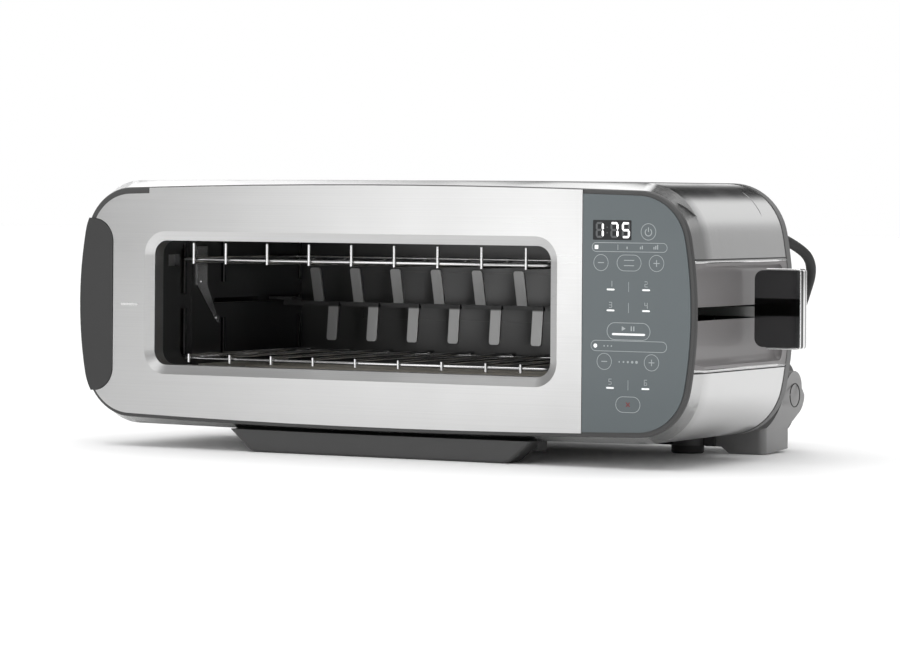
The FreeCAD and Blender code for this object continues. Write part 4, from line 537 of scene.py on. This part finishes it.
# Display: a dark window with three seven-segment figures
DISPLAY_X, DISPLAY_Z = 177.2, 153.7
DISPLAY_WIDTH, DISPLAY_HEIGHT, DISPLAY_CORNER = 27.7, 12.8, 0.6
COLON_DOT, COLON_HALF = 0.9, 1.8
FIGURE_WIDTH, FIGURE_HEIGHT = 5.7, 10.2
FIGURE_X = (-8.9, 1.7, 9.9)
SEGMENT = 1.35
SEGMENT_GAP = 0.18
SEGMENTS = {
    "top": (0.0, 1.0, True),
    "upper_left": (-1.0, 0.5, False),
    "upper_right": (1.0, 0.5, False),
    "middle": (0.0, 0.0, True),
    "lower_left": (-1.0, -0.5, False),
    "lower_right": (1.0, -0.5, False),
    "bottom": (0.0, -1.0, True),
}
LIT = {
    1: ("upper_right", "lower_right"),
    7: ("top", "upper_right", "lower_right"),
    5: ("top", "upper_left", "middle", "lower_right", "bottom"),
}
SHOWN_FIGURES = (1, 7, 5)


def segment(x, z, length, level):
    """Pointed bar of a seven-segment figure."""
    half, thick = length / 2, SEGMENT / 2
    shape = [(-half, 0), (-half + thick, thick), (half - thick, thick)]
    shape += [(half, 0), (half - thick, -thick), (-half + thick, -thick)]
    if level:
        return [(x + a, z + b) for a, b in shape]
    return [(x + b, z + a) for a, b in shape]


def display():
    window, lit, dim = bmesh.new(), bmesh.new(), bmesh.new()
    mark(window, DISPLAY_X, DISPLAY_Z, DISPLAY_WIDTH, DISPLAY_HEIGHT, DISPLAY_CORNER)
    face, back = PRINT_FRONT - PRINT_THICK, PRINT_FRONT + PRINT_SINK
    reach_x, reach_z = (FIGURE_WIDTH - SEGMENT) / 2, (FIGURE_HEIGHT - SEGMENT) / 2
    for figure, offset in zip(SHOWN_FIGURES, FIGURE_X):
        for name, (right, up, level) in SEGMENTS.items():
            length = (FIGURE_WIDTH if level else FIGURE_HEIGHT / 2) - SEGMENT / 2 - SEGMENT_GAP * 2
            x = DISPLAY_X + offset + right * reach_x
            z = DISPLAY_Z + up * reach_z
            shape = segment(x, z, length, level)
            prism(lit if name in LIT[figure] else dim, shape, face, back)
    for up in (-COLON_HALF, COLON_HALF):
        x = DISPLAY_X + (FIGURE_X[0] + FIGURE_X[1]) / 2
        prism(dim, pill(x, DISPLAY_Z + up, COLON_DOT, COLON_DOT, None, 4), face, back)
    piece("display_window", window, WINDOW_PAINT, smooth=False)
    piece("display_figures", lit, DIGIT_PAINT, smooth=False)
    piece("display_idle_segments", dim, DIM_PAINT, smooth=False)


def sign(bm, x, z, size, plus, line=0.55):
    """Minus or plus sign."""
    mark(bm, x, z, size, line)
    if plus:
        for up in (-1, 1):
            mark(bm, x, z + up * (size + line) / 4, line, (size - line) / 2)


def power_symbol(bm, x, z, radius=2.3, line=0.55):
    """Ring open at the top with a bar through the gap."""
    steps = 24
    start, sweep = math.radians(125), math.radians(290)
    rings = []
    for r in (radius + line / 2, radius - line / 2):
        angles = [start + sweep * k / steps for k in range(steps + 1)]
        rings.append([(x + r * math.cos(a), z + r * math.sin(a)) for a in angles])
    prism(bm, rings[0] + rings[1][::-1], PRINT_FRONT, PRINT_BACK)
    mark(bm, x, z + radius * 0.75, line, radius * 1.3)


def mode_figure(bm, figure, x, z, height=3.4):
    """Plain number 1 to 6 drawn as small round-ended strokes, in place of a word."""
    half_w, half_h = height * 0.26, height / 2
    corners = {
        "tl": (-half_w, half_h),
        "tr": (half_w, half_h),
        "ml": (-half_w, 0.0),
        "mr": (half_w, 0.0),
        "bl": (-half_w, -half_h),
        "br": (half_w, -half_h),
    }
    strokes = {
        1: ("tr-br",),
        2: ("tl-tr", "tr-mr", "ml-mr", "ml-bl", "bl-br"),
        3: ("tl-tr", "tr-mr", "ml-mr", "mr-br", "bl-br"),
        4: ("tl-ml", "ml-mr", "tr-mr", "mr-br"),
        5: ("tl-tr", "tl-ml", "ml-mr", "mr-br", "bl-br"),
        6: ("tl-tr", "tl-ml", "ml-bl", "ml-mr", "mr-br", "bl-br"),
    }
    line = 0.42
    for stroke in strokes[figure]:
        (x0, z0), (x1, z1) = (corners[c] for c in stroke.split("-"))
        width, tall = abs(x1 - x0) + line, abs(z1 - z0) + line
        mark(bm, x + (x0 + x1) / 2, z + (z0 + z1) / 2, width, tall)


def power_button(print_bm):
    x, z, size = 203.2, 152.8, 10.5
    pill_line(print_bm, x, z, size, size)
    power_symbol(print_bm, x, 152.5)


def level_bar(print_bm, light_bm):
    """Bar with a light, a split, and three levels drawn as rising bars."""
    z, light, first_x, step, bar_step, rise = 142.7, 2.6, 188.0, 9.6, 1.3, 0.35
    pill_line(print_bm, 189.7, z, 53.7, 5.7)
    mark(light_bm, 166.0, z, light, light, 0.4)
    mark(print_bm, 181.4, z, 0.35, 3.4)
    for level in range(3):
        for bar in range(level + 1):
            x, height = first_x + step * level + bar_step * bar, 1.6 + 2 * rise * bar
            mark(print_bm, x, 142.4 + rise * bar, 0.7, height, 0.1)


def setting_row(print_bm):
    """Minus, a button with two lines, and plus."""
    z, round_size, sign_size = 132.7, 10.4, 4.4
    minus_x, middle_x, plus_x = 169.3, 189.5, 209.1
    pill_line(print_bm, minus_x, z, round_size, round_size)
    sign(print_bm, minus_x, z, sign_size, False)
    pill_line(print_bm, middle_x, z, 17.2, 10.2)
    for line_z in (134.4, 131.0):
        mark(print_bm, middle_x, line_z, 7.4, 0.5)
    pill_line(print_bm, plus_x, z, round_size, round_size)
    sign(print_bm, plus_x, z, sign_size, True)


def mode_rows(print_bm, light_bm):
    """Numbered modes in pairs, each with its light, and a split between the two."""
    columns_x, split_x = (176.4, 201.8), 189.3
    for light_z, figure_z, figure in ((115.5, 119.2, 1), (102.1, 105.6, 3), (52.3, 56.3, 5)):
        for step, x in enumerate(columns_x):
            mark(light_bm, x, light_z, 5.6, 1.1)
            mode_figure(print_bm, figure + step, x, figure_z)
        mark(print_bm, split_x, (light_z + figure_z) / 2, 0.3, 6.4, 0.1)


def start_button(print_bm, light_bm):
    """Button with a play triangle, two pause bars and its light."""
    x, symbol_z, half = 189.4, 90.6, 1.5
    back_x, tip_x = 184.6, 187.4
    pill_line(print_bm, x, 88.8, 30.8, 10.9)
    mark(light_bm, x, 86.9, 23.7, 1.3)
    triangle = [(back_x, symbol_z - half), (tip_x, symbol_z), (back_x, symbol_z + half)]
    prism(print_bm, triangle, PRINT_FRONT, PRINT_BACK)
    for bar_x in (191.4, 193.2):
        mark(print_bm, bar_x, symbol_z, 0.8, 2 * half, 0.1)


def toast_bar(print_bm, light_bm):
    """Bar with a light and three dots."""
    z, light, dot = 79.2, 2.7, 1.0
    first_x, step = 172.0, 2.6
    pill_line(print_bm, 189.6, 79.3, 54.2, 6.7)
    mark(light_bm, 165.6, z, light, light)
    for k in range(3):
        mark(print_bm, first_x + step * k, z, dot, dot)


def shade_row(print_bm):
    """Minus, five growing dots, and plus."""
    z, round_size, sign_size = 69.2, 10.4, 4.2
    first_x, step, dot, growth = 182.9, 3.1, 1.0, 0.22
    for x, plus in ((172.1, False), (206.0, True)):
        pill_line(print_bm, x, z, round_size, round_size)
        sign(print_bm, x, z, sign_size, plus)
    for k in range(5):
        size = dot + growth * k
        mark(print_bm, first_x + step * k, z, size, size)


def cancel_button(print_bm, cancel_bm):
    """Button with a cross, one of whose bars lies a hair behind the other."""
    x, z, reach, line = 189.3, 41.9, 4.0, 0.7
    pill_line(print_bm, x, z, 17.4, 10.0)
    for turn in (-1, 1):
        angle = turn * math.pi / 4
        cos, sin = math.cos(angle), math.sin(angle)
        level = pill(0.0, 0.0, reach, line, None, 4)
        turned = [(x + p * cos - q * sin, z + p * sin + q * cos) for p, q in level]
        prism(cancel_bm, turned, PRINT_FRONT - PRINT_THICK * (turn + 1) / 4, PRINT_BACK)


def control_marks():
    """Printed outlines, plain numbers and lights on the control face, from the top down."""
    print_bm, light_bm, cancel_bm = bmesh.new(), bmesh.new(), bmesh.new()
    power_button(print_bm)
    level_bar(print_bm, light_bm)
    setting_row(print_bm)
    mode_rows(print_bm, light_bm)
    start_button(print_bm, light_bm)
    toast_bar(print_bm, light_bm)
    shade_row(print_bm)
    cancel_button(print_bm, cancel_bm)
    piece("control_print", print_bm, PRINT_PAINT, smooth=False)
    piece("control_lights", light_bm, LIGHT_PAINT, smooth=False)
    piece("control_cancel_cross", cancel_bm, CANCEL_PAINT, smooth=False)


display()
control_marks()


# Bent and pressed details of the steel, in drawing millimetres
SKIN_CORNER_X, SKIN_CORNER_Z = 195.28, 144.04
CREASE_START = 60.0
# Y and angle from upright of both ends of a crease
CREASES = ((6.0, 41.8, 13.0, 63.9), (114.0, 29.6, 112.0, 62.2))
CREASE_RADIUS = 0.45
CREASE_STEPS = 14
# Edge of each skin along the recess, and which way its skin lies
SKIN_EDGES = (("top_wrap", "top", 134.3, 1), ("bottom_wrap", "bottom", 63.7, -1))
SKIN_OUTSIDE_X = 300.0
HEM_FRONT_Y, HEM_BACK_Y = 3.3, 136.6
HEM_STEPS = 16
HEM_MEASURE = 0.6
DASH_X, DASH_Z = -195.9, 98.5
DASH_WIDTH, DASH_HEIGHT, DASH_PROUD, DASH_SINK = 14.2, 1.5, 0.5, 0.2
RING_STEPS = 32
RING_RADIUS = 0.35
RING_OUTSIDE_X = 0.3

# Painted highlight: a lighter copy of the steel for the hems
HEM_HIGHLIGHT_STEEL = bright_metal("hem_painted_highlight", (0.75, 0.75, 0.748), 0.2)
# Painted shadow in the gaps beside the hems, also used for the dark seams round the pivot caps
GAP_PAINT = moulded("shadow_gap", (0.012, 0.012, 0.012), 0.6)
# Painted shade: a darker copy of the steel for the creases
CREASE_SHADE_STEEL = bright_metal("crease_painted_shade", (0.2, 0.2, 0.2), 0.35)
# Painted highlight: a lighter copy of the steel for the dash
DASH_HIGHLIGHT_STEEL = bright_metal("dash_painted_highlight", (0.85, 0.85, 0.85), 0.2)
# Beads along each edge: name, offset onto the skin, sink, radius, material and slot
HEM_BEADS = (
    ("line", 0.9, 0.1, 0.45, GAP_PAINT, "dark_frame"),
    ("hem", -0.7, 0.35, 0.9, HEM_HIGHLIGHT_STEEL, "brushed_steel"),
    ("gap", -2.6, 0.6, 0.8, GAP_PAINT, "dark_frame"),
)


def bead(name, points, radius, material, body=HOUSING, sides=8):
    """Round bead along drawing points, closed at both ends."""
    line = [at(*p) for p in points]
    angles = [2 * math.pi * k / sides for k in range(sides)]
    bm = bmesh.new()
    rings = []
    for i, point in enumerate(line):
        along = (line[min(i + 1, len(line) - 1)] - line[max(i - 1, 0)]).normalized()
        turn = along.to_track_quat("Z", "Y").to_matrix()
        spokes = [turn @ Vector((math.cos(a), math.sin(a), 0)) for a in angles]
        rings.append([bm.verts.new(point + spoke * radius * MM) for spoke in spokes])
    for first, second in zip(rings, rings[1:]):
        for k in range(sides):
            j = (k + 1) % sides
            bm.faces.new([first[k], first[j], second[j], second[k]])
    bm.faces.new(rings[0][::-1])
    bm.faces.new(rings[-1])
    return piece(name, bm, material, body)


def drawing(place):
    """The inverse of at."""
    return (place.x / MM, place.y / MM + FOOT_MIDDLE, place.z / MM)


def skin_point(node, start, aim, sink):
    """Drawing point where a ray towards aim meets the skin, sunk along it; None where it misses."""
    start = at(*start)
    way = (at(*aim) - start).normalized()
    hit, place, _, _ = frame["nodes"][node].ray_cast(start, way)
    return drawing(place + way * sink * MM) if hit else None


def creases():
    """Shallow pressed lines round the skin's top corners, near its front and back, painted dark as
    shade.
    """
    for side, label in ((1, "right"), (-1, "left")):
        for number, (y0, angle0, y1, angle1) in enumerate(CREASES, 1):
            points = []
            for k in range(CREASE_STEPS + 1):
                share = k / CREASE_STEPS
                y, angle = y0 + (y1 - y0) * share, math.radians(angle0 + (angle1 - angle0) * share)
                # The line is deepest at its ends, so it fades out there
                sink = CREASE_RADIUS * (0.45 + 0.5 * abs(2 * share - 1) ** 4)
                out_x, out_z = CREASE_START * math.sin(angle), CREASE_START * math.cos(angle)
                start = (side * (SKIN_CORNER_X + out_x), y, SKIN_CORNER_Z + out_z)
                aim = (side * SKIN_CORNER_X, y, SKIN_CORNER_Z)
                points.append(skin_point("top_wrap", start, aim, sink))
            points = [point for point in points if point]
            bead(f"skin_crease_{label}_{number}", points, CREASE_RADIUS, CREASE_SHADE_STEEL)


def hems():
    """Turned-in edges of the skins along the side recesses, painted lighter as a highlight, with a
    painted shadow line to each side.
    """
    for side, label in ((1, "right"), (-1, "left")):
        for node, level, edge_z, inward in SKIN_EDGES:
            z = edge_z + inward * HEM_MEASURE
            rows = []
            for k in range(HEM_STEPS + 1):
                y = HEM_FRONT_Y + (HEM_BACK_Y - HEM_FRONT_Y) * (k / HEM_STEPS) ** 2
                rows.append(skin_point(node, (side * SKIN_OUTSIDE_X, y, z), (0.0, y, z), 0.0))
            rows = [row for row in rows if row]
            for name, offset, sink, radius, material, slot in HEM_BEADS:
                points = [(x - side * sink, y, edge_z + inward * offset) for x, y, _ in rows]
                bead(f"skin_{name}_{level}_{label}", points, radius, material, sides=12)


def dash():
    """Raised dash on the fascia's left end, painted lighter than the fascia as a highlight."""
    bm = bmesh.new()
    outline = pill(DASH_X, DASH_Z, DASH_WIDTH, DASH_HEIGHT, None, 5)
    prism(bm, outline, FACE_Y - DASH_PROUD, FACE_Y + DASH_SINK)
    piece("fascia_dash", bm, DASH_HIGHLIGHT_STEEL, smooth=False)


def pivot_rings():
    """Dark seam of each pivot cap, laid on the cap or on the arm, whichever stands out further."""
    low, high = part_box("pivot_caps")
    middle_y, middle_z = (low[1] + high[1]) / 2, (low[2] + high[2]) / 2
    radius = (high[2] - low[2]) / 2
    caps = frame["nodes"]["pivot_caps"]
    for side, label in ((1, "right"), (-1, "left")):
        arm = frame["nodes"]["stand_bracket_" + label]
        points = []
        for k in range(RING_STEPS + 1):
            angle = 2 * math.pi * k / RING_STEPS
            y, z = middle_y + radius * math.cos(angle), middle_z + radius * math.sin(angle)
            start, way = (side * RING_OUTSIDE_X, y, z), (-side, 0, 0)
            casts = [node.ray_cast(start, way) for node in (arm, caps)]
            reach = max([high[0], *(abs(place.x) for hit, place, _, _ in casts if hit)])
            points.append(drawing(Vector((side * reach, y, z))))
        bead("pivot_ring_" + label, points, RING_RADIUS, GAP_PAINT, "stand")


creases()
hems()
dash()
pivot_rings()


# Mains cord: its own NURBS through the same route as the CAD tube
CORD_DIAMETER = 0.007
CORD_START = at(206.389, 178.118, 150.637)
CORD_ROUTE = (
    (0.2073, 0.1940, 0.1460),
    (0.2130, 0.2275, 0.1310),
    (0.1930, 0.2510, 0.1010),
    (0.1700, 0.2700, 0.0620),
    (0.1550, 0.2850, 0.0260),
    (0.1310, 0.2950, 0.0055),
    (0.0900, 0.3095, 0.0036),
)
CORD_FLOOR_Z = 0.0036
COIL_CENTRE = (-0.020, 0.310)
COIL_RADIUS = 0.043
COIL_PITCH = 0.0078
COIL_TURNS = 2.25
COIL_START_DEG = -62.0
COIL_CLIMB = 0.0078
COIL_CLIMB_TURNS = 0.5
COIL_APPROACH = 0.043
COIL_STRAIGHT = 0.007
COIL_POINTS_PER_TURN = 16
TAIL_LENGTH = 0.038
PLUG_HALF_THICK = 0.010


def coil_point(turn):
    """Point of the coil's centre line: spirals in, climbs one layer at the middle, spirals out."""
    radius = COIL_RADIUS - COIL_PITCH * min(turn, COIL_TURNS - turn)
    climb = min(1.0, max(0.0, (turn - COIL_TURNS / 2) / COIL_CLIMB_TURNS + 0.5))
    height = CORD_FLOOR_Z + COIL_CLIMB * climb * climb * (3 - 2 * climb)
    angle = math.radians(COIL_START_DEG - 360.0 * turn)
    x, y = COIL_CENTRE
    return Vector((x + radius * math.cos(angle), y + radius * math.sin(angle), height))


def coil_tangent(turn):
    step = 0.002
    ahead, behind = coil_point(min(COIL_TURNS, turn + step)), coil_point(max(0.0, turn - step))
    return (ahead - behind).normalized()


def cord_points():
    """Control points from the strain relief to the plug."""
    first = coil_point(0.0) - coil_tangent(0.0) * COIL_STRAIGHT
    points = [CORD_START, *(Vector(p) for p in CORD_ROUTE)]
    points += [first - coil_tangent(0.0) * COIL_APPROACH, first]
    count = round(COIL_TURNS * COIL_POINTS_PER_TURN)
    points += [coil_point(COIL_TURNS * k / count) for k in range(count + 1)]
    away = coil_tangent(COIL_TURNS)
    last = coil_point(COIL_TURNS) + away * COIL_STRAIGHT
    entry = last + away * TAIL_LENGTH
    entry.z = PLUG_HALF_THICK
    third = away * (TAIL_LENGTH / 3)
    return points + [last, last + third, entry - third, entry]


def mains_cord():
    curve = bpy.data.curves.new("mains_cord_line", "CURVE")
    curve.dimensions = "3D"
    curve.bevel_depth = CORD_DIAMETER / 2
    curve.bevel_resolution = 6
    curve.resolution_u = 10
    curve.use_fill_caps = True
    points = cord_points()
    spline = curve.splines.new("NURBS")
    spline.points.add(len(points) - 1)
    for control, point in zip(spline.points, points):
        control.co = (*point, 1.0)
    spline.order_u = 3
    spline.use_endpoint_u = True
    curve.materials.append(FINISHES["cord_rubber"])
    cord = bpy.data.objects.new("mains_lead", curve)
    bpy.context.scene.collection.objects.link(cord)
    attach(cord, HOUSING)
    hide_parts("mains_cord", "cord_coil", "cord_tail")
    return cord


cord = mains_cord()

# Strain relief: a tapered sleeve with ribs, in place of the plain cone
GLAND_PLACE = at(205.5, 148.5, 155.5)
GLAND_LENGTH = 0.004
RELIEF_LENGTH = 0.030
RELIEF_BASE_RADIUS = 0.007
RELIEF_TIP_RADIUS = 0.0044
RELIEF_RIBS = 7
RELIEF_STEPS_PER_RIB = 6
RELIEF_RIBBED = (0.12, 0.94)
RELIEF_GROOVE = 0.0006
RELIEF_SIDES = 28


def strain_relief():
    """Sleeve turned about the line from the gland to the cord's start."""
    axis = (CORD_START - GLAND_PLACE).normalized()
    turn = axis.to_track_quat("Z", "Y").to_matrix().to_4x4()
    place = Matrix.Translation(GLAND_PLACE + axis * GLAND_LENGTH) @ turn
    length = RELIEF_LENGTH - GLAND_LENGTH
    profile = [(0.0, 0.0)]
    steps = RELIEF_RIBS * RELIEF_STEPS_PER_RIB
    for k in range(steps + 1):
        share = k / steps
        radius = RELIEF_BASE_RADIUS + (RELIEF_TIP_RADIUS - RELIEF_BASE_RADIUS) * share
        if RELIEF_RIBBED[0] <= share <= RELIEF_RIBBED[1]:
            radius -= RELIEF_GROOVE * (0.5 - 0.5 * math.cos(2 * math.pi * k / RELIEF_STEPS_PER_RIB))
        profile.append((radius, length * share))
    profile.append((0.0, length))
    bm = bmesh.new()
    angles = [2 * math.pi * k / RELIEF_SIDES for k in range(RELIEF_SIDES)]
    rings = []
    for radius, along in profile:
        around = [(radius * math.cos(a), radius * math.sin(a)) for a in angles] if radius else [(0, 0)]
        rings.append([bm.verts.new(place @ Vector((x, y, along))) for x, y in around])
    for first, second in zip(rings, rings[1:]):
        for i in range(RELIEF_SIDES):
            j = i + 1
            # A ring of one point closes an end with triangles
            corners = [(first, i), (first, j), (second, j), (second, i)]
            bm.faces.new(list(dict.fromkeys(ring[k % len(ring)] for ring, k in corners)))
    made = piece("relief_sleeve", bm, FINISHES["cord_rubber"])
    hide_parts("strain_relief")


strain_relief()


# Floor, light and camera
FLOOR_HALF = 12.0


def floor():
    bm = bmesh.new()
    corners = [(x * FLOOR_HALF, y * FLOOR_HALF) for x, y in ((-1, -1), (1, -1), (1, 1), (-1, 1))]
    bm.faces.new([bm.verts.new((x, y, 0.0)) for x, y in corners])
    mesh = bpy.data.meshes.new("floor")
    bm.to_mesh(mesh)
    bm.free()
    made = Finish("pale_floor", (0.93, 0.93, 0.93), 0.8)
    made.mottle(0.4, 0.01)
    mesh.materials.append(made.material)
    plane = bpy.data.objects.new("floor", mesh)
    bpy.context.scene.collection.objects.link(plane)


def toward(azimuth_deg, height_deg):
    """Direction; the azimuth turns from the back to the right, the height is over the horizon."""
    azimuth, height = math.radians(azimuth_deg), math.radians(height_deg)
    level = math.cos(height)
    return (math.sin(azimuth) * level, math.cos(azimuth) * level, math.sin(height))


# Soft fields of the studio: azimuth, height, inner and outer radius in degrees, and brightness
STUDIO_FIELDS = (
    (0, 90, 20, 60, 2.1),
    (209, 5, 25, 70, 0.1),
    (150, 5, 15, 42, 0.25),
    (80, 10, 30, 60, 0.45),
    (34, 5, 8, 22, 0.5),
    (-17, 25, 7, 17, 0.03),
)


def world():
    """White studio whose darker and brighter fields give the metal something to mirror."""
    made = bpy.data.worlds.new("studio")
    bpy.context.scene.world = made
    made.use_nodes = True
    tree = made.node_tree
    direction = tree.nodes.new("ShaderNodeTexCoord").outputs["Generated"]
    level = None
    for azimuth, height, inner, outer, brightness in STUDIO_FIELDS:
        dot = tree.nodes.new("ShaderNodeVectorMath")
        dot.operation = "DOT_PRODUCT"
        tree.links.new(direction, dot.inputs[0])
        dot.inputs[1].default_value = toward(azimuth, height)
        fade = tree.nodes.new("ShaderNodeMapRange")
        fade.interpolation_type = "SMOOTHSTEP"
        tree.links.new(dot.outputs["Value"], fade.inputs["Value"])
        fade.inputs["From Min"].default_value = math.cos(math.radians(outer))
        fade.inputs["From Max"].default_value = math.cos(math.radians(inner))
        blend = tree.nodes.new("ShaderNodeMix")
        tree.links.new(fade.outputs["Result"], blend.inputs["Factor"])
        blend.inputs["A"].default_value = 1.0
        if level is not None:
            tree.links.new(level, blend.inputs["A"])
        blend.inputs["B"].default_value = brightness
        level = blend.outputs["Result"]
    tree.nodes["Background"].inputs["Color"].default_value = (1.0, 1.0, 1.0, 1.0)
    tree.links.new(level, tree.nodes["Background"].inputs["Strength"])


def area(name, place, target, width, height, brightness):
    """Soft box of an even brightness, which the camera doesn't see."""
    light = bpy.data.lights.new(name, "AREA")
    light.shape = "RECTANGLE"
    light.size = width
    light.size_y = height
    light.energy = brightness * math.pi * width * height
    lamp = bpy.data.objects.new(name, light)
    lamp.location = place
    lamp.rotation_mode = "QUATERNION"
    lamp.rotation_quaternion = (Vector(target) - Vector(place)).to_track_quat("-Z", "Y")
    lamp.visible_camera = False
    bpy.context.scene.collection.objects.link(lamp)


# Name, place, target, width and height in metres, and brightness
LIGHTS = (
    ("front_card", (-0.31, -1.0, 0.3), (0.1, 0.0, 0.1), 0.66, 1.0, 1.4),
    ("top_box", (0.1, -0.9, 1.6), (0.0, 0.0, 0.1), 1.4, 0.8, 1.0),
)

# Camera found from the photograph's straight edges
FRAME_WIDTH_PX = 900
FOCAL_PX = 3800.0
SENSOR_MM = 36.0
FRAME_MIDDLE_Y_PX = 325.0
HORIZON_Y_PX = 190.3
CAMERA_PLACE = (1.2843, -2.1901, 0.1785)
CLIP_START, CLIP_END = 0.05, 60.0
YAW_DEG = 29.4
ROLL = 0.0068


def camera():
    data = bpy.data.cameras.new("camera")
    data.sensor_width = SENSOR_MM
    data.lens = FOCAL_PX * SENSOR_MM / FRAME_WIDTH_PX
    data.shift_y = (HORIZON_Y_PX - FRAME_MIDDLE_Y_PX) / FRAME_WIDTH_PX
    data.clip_start, data.clip_end = CLIP_START, CLIP_END
    yaw = math.radians(YAW_DEG)
    forward = Vector((-math.sin(yaw), math.cos(yaw), 0.0))
    level = Vector((math.cos(yaw), math.sin(yaw), 0.0))
    up = Vector((0.0, 0.0, 1.0))
    right = level * math.cos(ROLL) + up * math.sin(ROLL)
    above = up * math.cos(ROLL) - level * math.sin(ROLL)
    turn = Matrix((right, above, -forward)).transposed()
    made = bpy.data.objects.new("camera", data)
    made.rotation_mode = "QUATERNION"
    made.rotation_quaternion = turn.to_quaternion()
    made.location = CAMERA_PLACE
    bpy.context.scene.collection.objects.link(made)
    bpy.context.scene.camera = made


floor()
world()
for light in LIGHTS:
    area(*light)
camera()
bpy.context.scene.view_settings.view_transform = "Standard"
